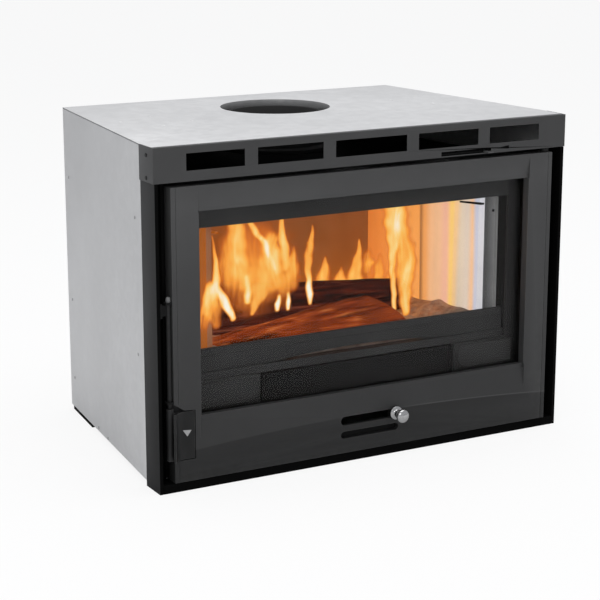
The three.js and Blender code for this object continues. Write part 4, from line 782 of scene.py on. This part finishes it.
front_tongues = [
    [(-262, 224, 2.6, 0.45), (-260, 242, 3.9, 0.55), (-256, 256, 4.8, 0.65), (-250, 270, 8, 0.8),
     (-245, 282, 9.7, 0.9)],
    [(-254, 229, 8.1, 0.42), (-249, 242, 11.3, 0.5), (-243, 256, 14.6, 0.56), (-238, 269, 13, 0.6)],
    [(-235, 230, 9.8, 0.45), (-238, 242, 14.6, 0.52), (-238, 257, 13, 0.6)],
    [(-252, 250, 8.1, 0.62), (-246, 264, 11.3, 0.78), (-239, 278, 12.1, 0.98), (-235, 292, 8.1, 1),
     (-234, 309, 5.5, 0.9), (-235, 325, 4.2, 0.8), (-237, 343, 2.9, 0.6), (-240, 361, 1.6, 0.4)],
    [(-207, 235, 4.9, 1), (-217, 253, 8.2, 1.35), (-226, 271, 8.1, 1.3), (-234, 288, 4.8, 0.9)],
]
main_tongues = [
    [(-123, 253, 57.7, 0.4), (-123, 267, 64.7, 0.5), (-123, 288, 61, 0.5), (-126, 304, 48.6, 0.42)],
    [(-151, 263, 20.6, 0.5), (-149, 275, 27.5, 0.58), (-147, 294, 27.5, 0.58), (-147, 306, 20.6, 0.5)],
    [(-130, 256, 15.6, 0.6), (-134, 269, 19, 0.68), (-135, 289, 17.2, 0.7), (-137, 308, 15.5, 0.74),
     (-137, 321, 15.5, 0.74), (-140, 335, 15.4, 0.7), (-143, 354, 15.4, 0.62)],
    [(-80, 274, 5.3, 0.8), (-88, 295, 6.3, 0.95), (-99, 320, 6.6, 0.98), (-111, 332, 6.2, 0.95),
     (-123, 353, 5.2, 0.9)],
    [(-59, 274, 8.8, 0.7), (-60, 290, 9.7, 0.8), (-65, 312, 8.8, 0.92), (-71, 329, 6.7, 0.88),
     (-71, 351, 4.9, 0.75)],
    [(-89, 252, 17.6, 0.6), (-85, 268, 21.1, 0.8), (-85, 287, 22.8, 0.86), (-87, 303, 19.3, 0.84),
     (-88, 316, 14, 0.7)],
    [(-50, 248, 16, 0.5), (-48, 260, 17.8, 0.62), (-46, 273, 16, 0.66), (-46, 287, 10.7, 0.62),
     (-46, 302, 3.5, 0.4)],
    [(-117, 205, 3.5, 0.55), (-113, 219, 7.8, 0.62), (-108, 234, 13.1, 0.7), (-104, 249, 19.2, 0.7),
     (-102, 260, 21, 0.6)],
    [(-125, 226, 5.2, 0.85), (-126, 236, 6.2, 1), (-125, 249, 5.5, 0.9), (-127, 263, 5.2, 0.8)],
    [(-68, 221, 14.2, 0.3), (-67, 237, 17.7, 0.46), (-67, 251, 19.5, 0.55)],
    [(-78, 210, 3.9, 1.1), (-78, 219, 5.3, 1.4), (-76, 229, 3.5, 1)],
    [(-59, 209, 3.6, 1), (-59, 220, 5, 1.3), (-59, 231, 3.2, 0.9)],
    [(-14, 211, 4, 0.95), (-14, 223, 6.9, 1.4), (-14, 236, 6.9, 1.25), (-12, 247, 6.5, 0.85),
     (-14, 263, 8.1, 0.72), (-14, 287, 9.9, 0.66), (-14, 306, 8.6, 0.62), (-10, 320, 5.7, 0.55),
     (-9, 331, 3.2, 0.4)],
    [(140, 183, 5.3, 0.85), (142, 204, 6.1, 0.95), (138, 226, 6.1, 0.92), (132, 247, 6.8, 0.85),
     (131, 267, 8.7, 0.88), (135, 284, 12.3, 0.92), (138, 304, 17, 0.96), (140, 325, 20.8, 0.96),
     (139, 360, 22.6, 0.95)],
    [(160, 237, 23, 0.68), (160, 257, 24.9, 0.72), (161, 277, 23.9, 0.7), (156, 294, 24.8, 0.74),
     (148, 314, 24.7, 0.84)],
    [(167, 175, 10.6, 0.75), (167, 193, 15.4, 0.76), (166, 218, 16.3, 0.76), (164, 240, 16.3, 0.78)],
    [(172, 246, 13.4, 0.7), (173, 259, 11.5, 0.68), (177, 272, 7.7, 0.6), (184, 282, 3.8, 0.4)],
]
rear_tongues = [
    [(-45, 220, 73.8, 0.25), (-45, 225, 83.1, 0.6), (-45, 231, 73.7, 0.45)],
    [(58, 198, 15.2, 0.6), (66, 210, 15.2, 0.66), (70, 225, 13.3, 0.72), (72, 240, 7.6, 0.66),
     (71, 253, 3.2, 0.45)],
    [(96, 193, 23.1, 0.64), (98, 212, 17.3, 0.68), (100, 227, 7.7, 0.55), (100, 233, 3.8, 0.4)],
    [(127, 189, 21.3, 0.68), (127, 213, 19.4, 0.72), (129, 237, 13.5, 0.72), (131, 257, 7.7, 0.64),
     (132, 277, 3.3, 0.45)],
    [(158, 184, 27.5, 0.62), (158, 198, 23.5, 0.6), (156, 207, 15.6, 0.4)],
    [(152, 228, 13.6, 0.5), (154, 236, 17.5, 0.6), (150, 247, 11.7, 0.45)],
    [(182, 181, 17.8, 0.66), (178, 208, 11.8, 0.64), (177, 228, 12.8, 0.6), (177, 244, 5.9, 0.4)],
    [(202, 175, 15.9, 0.55), (199, 195, 15.9, 0.52)],
    [(-67, 199, 36.4, 0.3), (-58, 248, 45.6, 0.36), (-58, 289, 36.3, 0.26)],
]
before_logs, between_logs, behind_logs = 0.0465, 0.160, 0.262  # the sheets' depths behind the front
flame_sheet("flames_before_logs", front_plane + before_logs, front_tongues, 0.0012, flame,
            span=(-0.266, -0.180), rise=(0.200, 0.364))
flame_sheet("flames_between_logs", front_plane + between_logs, main_tongues, 0.008, flame)
flame_sheet("flames_behind_logs", front_plane + behind_logs, rear_tongues, 0.006, flame, span=(-0.204, 0.204))

# ------------------------------------------------------------------ door
# The door frame is cast and machined, with a beaded outer edge on each stile and sloping
# rails, and finished in heat-proof black. Four strips clamp the pane from behind.

# A shallow crease bows across the bottom rail. The coat is painted darker towards the bottom and at the top,
# as shade, and a painted reflection of the bent sheet darkens it below the crease and lights a line along it.
door_black = black_coat("door_black", 0.060, 0.50, height=0.02, edge=0.10, painted_shade_down=[
    (0.0, 0.42), (0.12, 0.47), (0.25, 0.66), (0.33, 0.77), (0.42, 0.95), (0.46, 0.78)])
door_tree = door_black.node_tree
door_shader = door_tree.nodes["Principled BSDF"]
plain_coat = door_shader.inputs["Base Color"].links[0].from_socket
door_where = added(door_tree, "ShaderNodeSeparateXYZ", {
    "Vector": added(door_tree, "ShaderNodeTexCoord").outputs["Object"]}).outputs
bow = worked(door_tree, "MULTIPLY", worked(door_tree, "MULTIPLY", door_where[0], door_where[0]), -0.13)
over_crease = worked(door_tree, "SUBTRACT", door_where[2], worked(door_tree, "ADD", bow, 0.0725))
below = ramp(
    door_tree, worked(door_tree, "MULTIPLY_ADD", over_crease, 60.0, 0.5), [(0.38, 0.52), (0.50, 1.0)])
crease_near = worked(door_tree, "DIVIDE", worked(door_tree, "ABSOLUTE", over_crease), 0.0012)
crease_right = worked(door_tree, "MULTIPLY_ADD", door_where[0], 8.0, -0.3)
crease_light = worked(door_tree, "MULTIPLY", added(door_tree, "ShaderNodeClamp", {
    "Value": worked(door_tree, "SUBTRACT", 1.0, crease_near)}).outputs[0], added(
        door_tree, "ShaderNodeClamp", {"Value": crease_right, "Max": 0.5}).outputs[0])
feed(door_tree, door_shader, Base_Color=mixed(
    door_tree, crease_light, mixed(door_tree, 1.0, plain_coat, below, "MULTIPLY"), (0.10, 0.10, 0.10)))
dressed("door_frame", "door", door_black, bevel=0.0005)
for place_name in ("left", "right", "bottom", "top"):
    coated(f"glass_retainer_{place_name}", inner_black_painted_shade)
for place_name in ("upper", "lower"):
    coated(f"latch_lug_{place_name}", inner_black_painted_shade)
coated("air_slider_guide", inner_black_painted_shade)
coated("air_slider", inner_black_painted_shade)
coated("latch_keeper", inner_black_painted_shade)

# The pane is clear glass ceramic, with a faint patchy trace of smoke.
pane, pane_tree, pane_shader = finish(
    "glass_ceramic", Roughness=0.02, IOR=1.15, Transmission_Weight=1.0)
pane_where = added(pane_tree, "ShaderNodeTexCoord").outputs["Object"]
smoke = added(pane_tree, "ShaderNodeTexNoise", {"Vector": pane_where, "Scale": 7.0, "Detail": 3.0})
feed(pane_tree, pane_shader,
     Base_Color=ramp(pane_tree, smoke.outputs["Fac"], [(0.3, 0.93), (0.7, 0.985)]))
coated("door_glass", pane)

# ------------------------------------------------------------------ door rope
# A braided glass-fibre rope is pressed into the groove round the back of the door.


def rope_seal(node, coat, strands=360, along=1500, around=14):
    """A rope round a rounded rectangle.

    The path runs round the middle of the groove with its corners turned on a small radius. The
    section is round, and its radius rises and falls where the strands of the braid cross:
    radius = thickness * (1 + 0.07 * |sin(strands * s + angle) * sin(strands * s - angle)|).
    """
    low, high = (np.array(c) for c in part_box(node))
    thick = (high[1] - low[1]) / 2 * 0.94
    half = np.array([(high[0] - low[0]) / 2 - thick, (high[2] - low[2]) / 2 - thick])
    middle = np.array([(low[0] + high[0]) / 2, (low[2] + high[2]) / 2])
    turn = 0.012
    straight = 2 * (half - turn)
    lengths = np.array([straight[1], math.pi / 2 * turn, straight[0], math.pi / 2 * turn] * 2)
    stops = np.concatenate([[0], np.cumsum(lengths)])
    s = np.linspace(0, stops[-1], along, endpoint=False)
    run = np.searchsorted(stops, s, side="right") - 1
    local = s - stops[run]
    quarter = run // 2
    corner_x = np.array([1, -1, -1, 1]) * (half[0] - turn)
    corner_z = np.array([1, 1, -1, -1]) * (half[1] - turn)
    facing = quarter * math.pi / 2
    swing = np.where(run % 2 == 1, local / turn, 0.0)
    begin = np.stack([corner_x[quarter], corner_z[quarter]], axis=1)
    heading = facing + math.pi / 2
    back = np.where(run % 2 == 0, lengths[run] - local, 0.0)
    centre = begin - back[:, None] * np.stack([np.cos(heading), np.sin(heading)], axis=1)
    out = np.stack([np.cos(facing + swing), np.sin(facing + swing)], axis=1)
    path = middle + centre + turn * out
    angle = np.linspace(0, 2 * math.pi, around, endpoint=False)
    phase = strands * s[:, None] / stops[-1] * math.pi
    swell = thick * (0.93 + 0.07 * np.abs(np.sin(phase + angle) * np.sin(phase - angle)))
    x = path[:, 0, None] + swell * np.cos(angle) * out[:, 0, None]
    z = path[:, 1, None] + swell * np.cos(angle) * out[:, 1, None]
    y = (low[1] + high[1]) / 2 + swell * np.sin(angle)
    points = np.stack([x, y, z], axis=-1).reshape(-1, 3)
    faces = grid_faces(along, around, closed=True, looped=True)
    piece = shaped("door_rope", "door", points, faces.tolist(), coat)
    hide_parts(node)
    return piece


rope_fibre = speckled("rope_fibre", [(0.3, (0.06, 0.058, 0.055)), (0.7, (0.14, 0.135, 0.125))],
                      grains=2600.0, height=0.9, mottle=60.0, Roughness=0.95, Sheen_Weight=0.2)
rope_seal("door_gasket", rope_fibre)

# ------------------------------------------------------------------ hinges
# Two turned steel pins with collars carry the door in the sill and in the header.

pin_steel = black_coat("pin_steel", 0.01, 0.45, edge=0.03, specular=0.15)
for place_name in ("bottom", "top"):
    dressed(f"hinge_pin_{place_name}", "root", pin_steel, bevel=0.0003)

# ------------------------------------------------------------------ air knob
# The knob is turned from stainless steel and polished: a flange, a waist and a rounded head.


def turned_knob(node, coat, around=72):
    """The knob's profile turned about its axis: radius against distance from the door."""
    low, high = (np.array(c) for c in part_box(node))
    x, z = (low[0] + high[0]) / 2, (low[2] + high[2]) / 2
    seat, tip = high[1], low[1]
    length = seat - tip
    head = (high[0] - low[0]) / 2
    dome = np.linspace(math.radians(-65), math.pi / 2, 26)
    foot = [(0.3, 0.0), (0.93, 0.0), (0.955, 0.012), (0.955, 0.074), (0.93, 0.089), (0.74, 0.108),
            (0.60, 0.140), (0.50, 0.185), (0.455, 0.235), (0.455, 0.330)]
    radius = np.concatenate([[r for r, _ in foot], np.cos(dome)]) * head
    cap = 0.0068 / length  # the head's half height as a share of the knob's length
    rise = np.concatenate([[h for _, h in foot], (1 - cap) + cap * np.sin(dome)]) * length
    angle = np.linspace(0, 2 * math.pi, around, endpoint=False)
    px = x + radius[:, None] * np.cos(angle)
    pz = z + radius[:, None] * np.sin(angle)
    py = np.repeat((seat - rise)[:, None], around, axis=1)
    points = np.stack([px, py, pz], axis=-1).reshape(-1, 3)
    faces = grid_faces(len(radius), around, closed=True, inwards=True)
    piece = shaped("air_knob_polished", "primary_air", points, faces.tolist(), coat)
    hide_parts(node)
    return piece


knob_steel, knob_tree, knob_shader = finish("knob_steel", Metallic=1.0)
knob_where = added(knob_tree, "ShaderNodeTexCoord").outputs["Object"]
turning = added(knob_tree, "ShaderNodeTexNoise", {
    "Vector": added(knob_tree, "ShaderNodeMapping", {
        "Vector": knob_where, "Scale": (60.0, 3000.0, 60.0)}).outputs[0], "Scale": 1.0, "Detail": 2.0})
feed(knob_tree, knob_shader,
     Base_Color=ramp(knob_tree, turning.outputs["Fac"], [(0.3, 0.35), (0.7, 0.44)]),
     Roughness=worked(knob_tree, "MULTIPLY_ADD", turning.outputs["Fac"], 0.10, 0.10))
turned_knob("air_knob", knob_steel)

# ------------------------------------------------------------------ latch
# An upright rod turns in two clips at the door's edge. A folded plate is pinned to it for the
# fingers, and a tongue on the rod closes behind the keeper on the post.

rod_low, rod_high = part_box("latch_rod")
rod_steel, rod_tree, rod_shader = finish("rod_steel", Roughness=0.5, Specular_IOR_Level=0.2)
rod_z = added(rod_tree, "ShaderNodeSeparateXYZ", {
    "Vector": added(rod_tree, "ShaderNodeTexCoord").outputs["Object"]}).outputs[2]
rod_share = added(rod_tree, "ShaderNodeMapRange", {
    "Value": rod_z, "From Min": float(rod_low[2]), "From Max": float(rod_high[2])}).outputs[0]
rod_grain = placed(rod_tree, grain, Grains=2400.0, Height=0.2, Mottle=120.0)
# The rod is painted near-black along its middle, as shade in the door's recess, and brighter at both ends, as
# painted glints on its rounded ends.
rod_glints_and_shade = ramp(rod_tree, rod_share, [
    (0.0, 0.10), (0.020, 0.08), (0.032, 0.003), (0.30, 0.003), (0.38, 0.016), (0.958, 0.016),
    (0.972, 0.14), (1.0, 0.16)])
feed(rod_tree, rod_shader,
     Base_Color=mixed(rod_tree, 1.0, rod_glints_and_shade, ramp(
         rod_tree, rod_grain["Tone"], [(0.3, 0.8), (0.7, 1.1)]), "MULTIPLY"),
     Normal=rod_grain["Normal"])
dressed("latch_rod", "latch", rod_steel, bevel=0.0002)
# The handle's coat is painted darker than the door's, as shade in its recess, and its edges are painted
# bright as the lit rim of the plate.
handle_black_painted_shade = black_coat("handle_black_painted_shade", 0.009, 0.45, edge=0.12, specular=0.2)
handle = dressed("latch_handle", "latch", handle_black_painted_shade, bevel=0.0004)
coated("latch_tongue", inner_black_painted_shade)
handle_face = front_plane - 0.0010
flat_mark("handle_mark", "latch", [(-0.3133, 0.0928), (-0.2995, 0.0914), (-0.3062, 0.0826)],
          handle_face, 0.0003, mark_silver)

# ------------------------------------------------------------------ floor, backdrop and light
# A plain pale studio: a white floor that keeps the insert's shadow, and broad soft lamps.

world = bpy.data.worlds.new("studio")
bpy.context.scene.world = world
world.use_nodes = True
world_tree = world.node_tree
sky = world_tree.nodes["Background"]
sky.inputs["Color"].default_value = (0.86, 0.87, 0.90, 1)
sky.inputs["Strength"].default_value = 0.73
white = added(world_tree, "ShaderNodeBackground", {"Color": (1, 1, 1, 1), "Strength": 1.0})
seen = added(world_tree, "ShaderNodeLightPath").outputs
seen_white = worked(world_tree, "MAXIMUM", seen["Is Camera Ray"], seen["Is Transmission Ray"])
world_mix = added(world_tree, "ShaderNodeMixShader", {
    0: seen_white, 1: sky.outputs[0], 2: white.outputs[0]})
world_tree.links.new(world_mix.outputs[0], world_tree.nodes["World Output"].inputs["Surface"])

floor_mesh = bpy.data.meshes.new("studio_floor")
reach = 30.0
floor_mesh.from_pydata([(-reach, -reach, 0), (reach, -reach, 0), (reach, reach, 0), (-reach, reach, 0)],
                       [], [(0, 1, 2, 3)])
floor = bpy.data.objects.new("studio_floor", floor_mesh)
bpy.context.scene.collection.objects.link(floor)
floor_white, floor_tree, floor_shader = finish(
    "floor_white", Base_Color=(0.86, 0.86, 0.86), Roughness=0.9, Specular_IOR_Level=0.1)
glowing = added(floor_tree, "ShaderNodeEmission", {"Color": (1, 1, 1, 1), "Strength": 1.0})
floor_seen = added(floor_tree, "ShaderNodeLightPath").outputs["Is Camera Ray"]
floor_mix = added(floor_tree, "ShaderNodeMixShader", {
    0: worked(floor_tree, "MULTIPLY", floor_seen, 0.86), 1: floor_shader.outputs[0], 2: glowing.outputs[0]})
floor_tree.links.new(floor_mix.outputs[0], floor_tree.nodes["Material Output"].inputs["Surface"])
floor_mesh.materials.append(floor_white)


def softbox(name, place, aim, size, power):
    """A square lamp that looks at a point."""
    lamp = bpy.data.lights.new(name, "AREA")
    lamp.size = size
    lamp.energy = power
    held = bpy.data.objects.new(name, lamp)
    held.location = place
    back = np.array(place, float) - np.array(aim, float)
    azimuth = math.atan2(back[0], -back[1])
    held.rotation_euler = (math.acos(back[2] / np.linalg.norm(back)), 0, azimuth)
    bpy.context.scene.collection.objects.link(held)
    return held


softbox("top_lamp", (0.2, -0.3, 3.2), (0, 0, 0.4), 2.6, 50)
softbox("front_lamp", (-2.2, -2.6, 2.0), (0, 0, 0.25), 1.8, 24)

view = bpy.context.scene.view_settings
view.view_transform = "Standard"
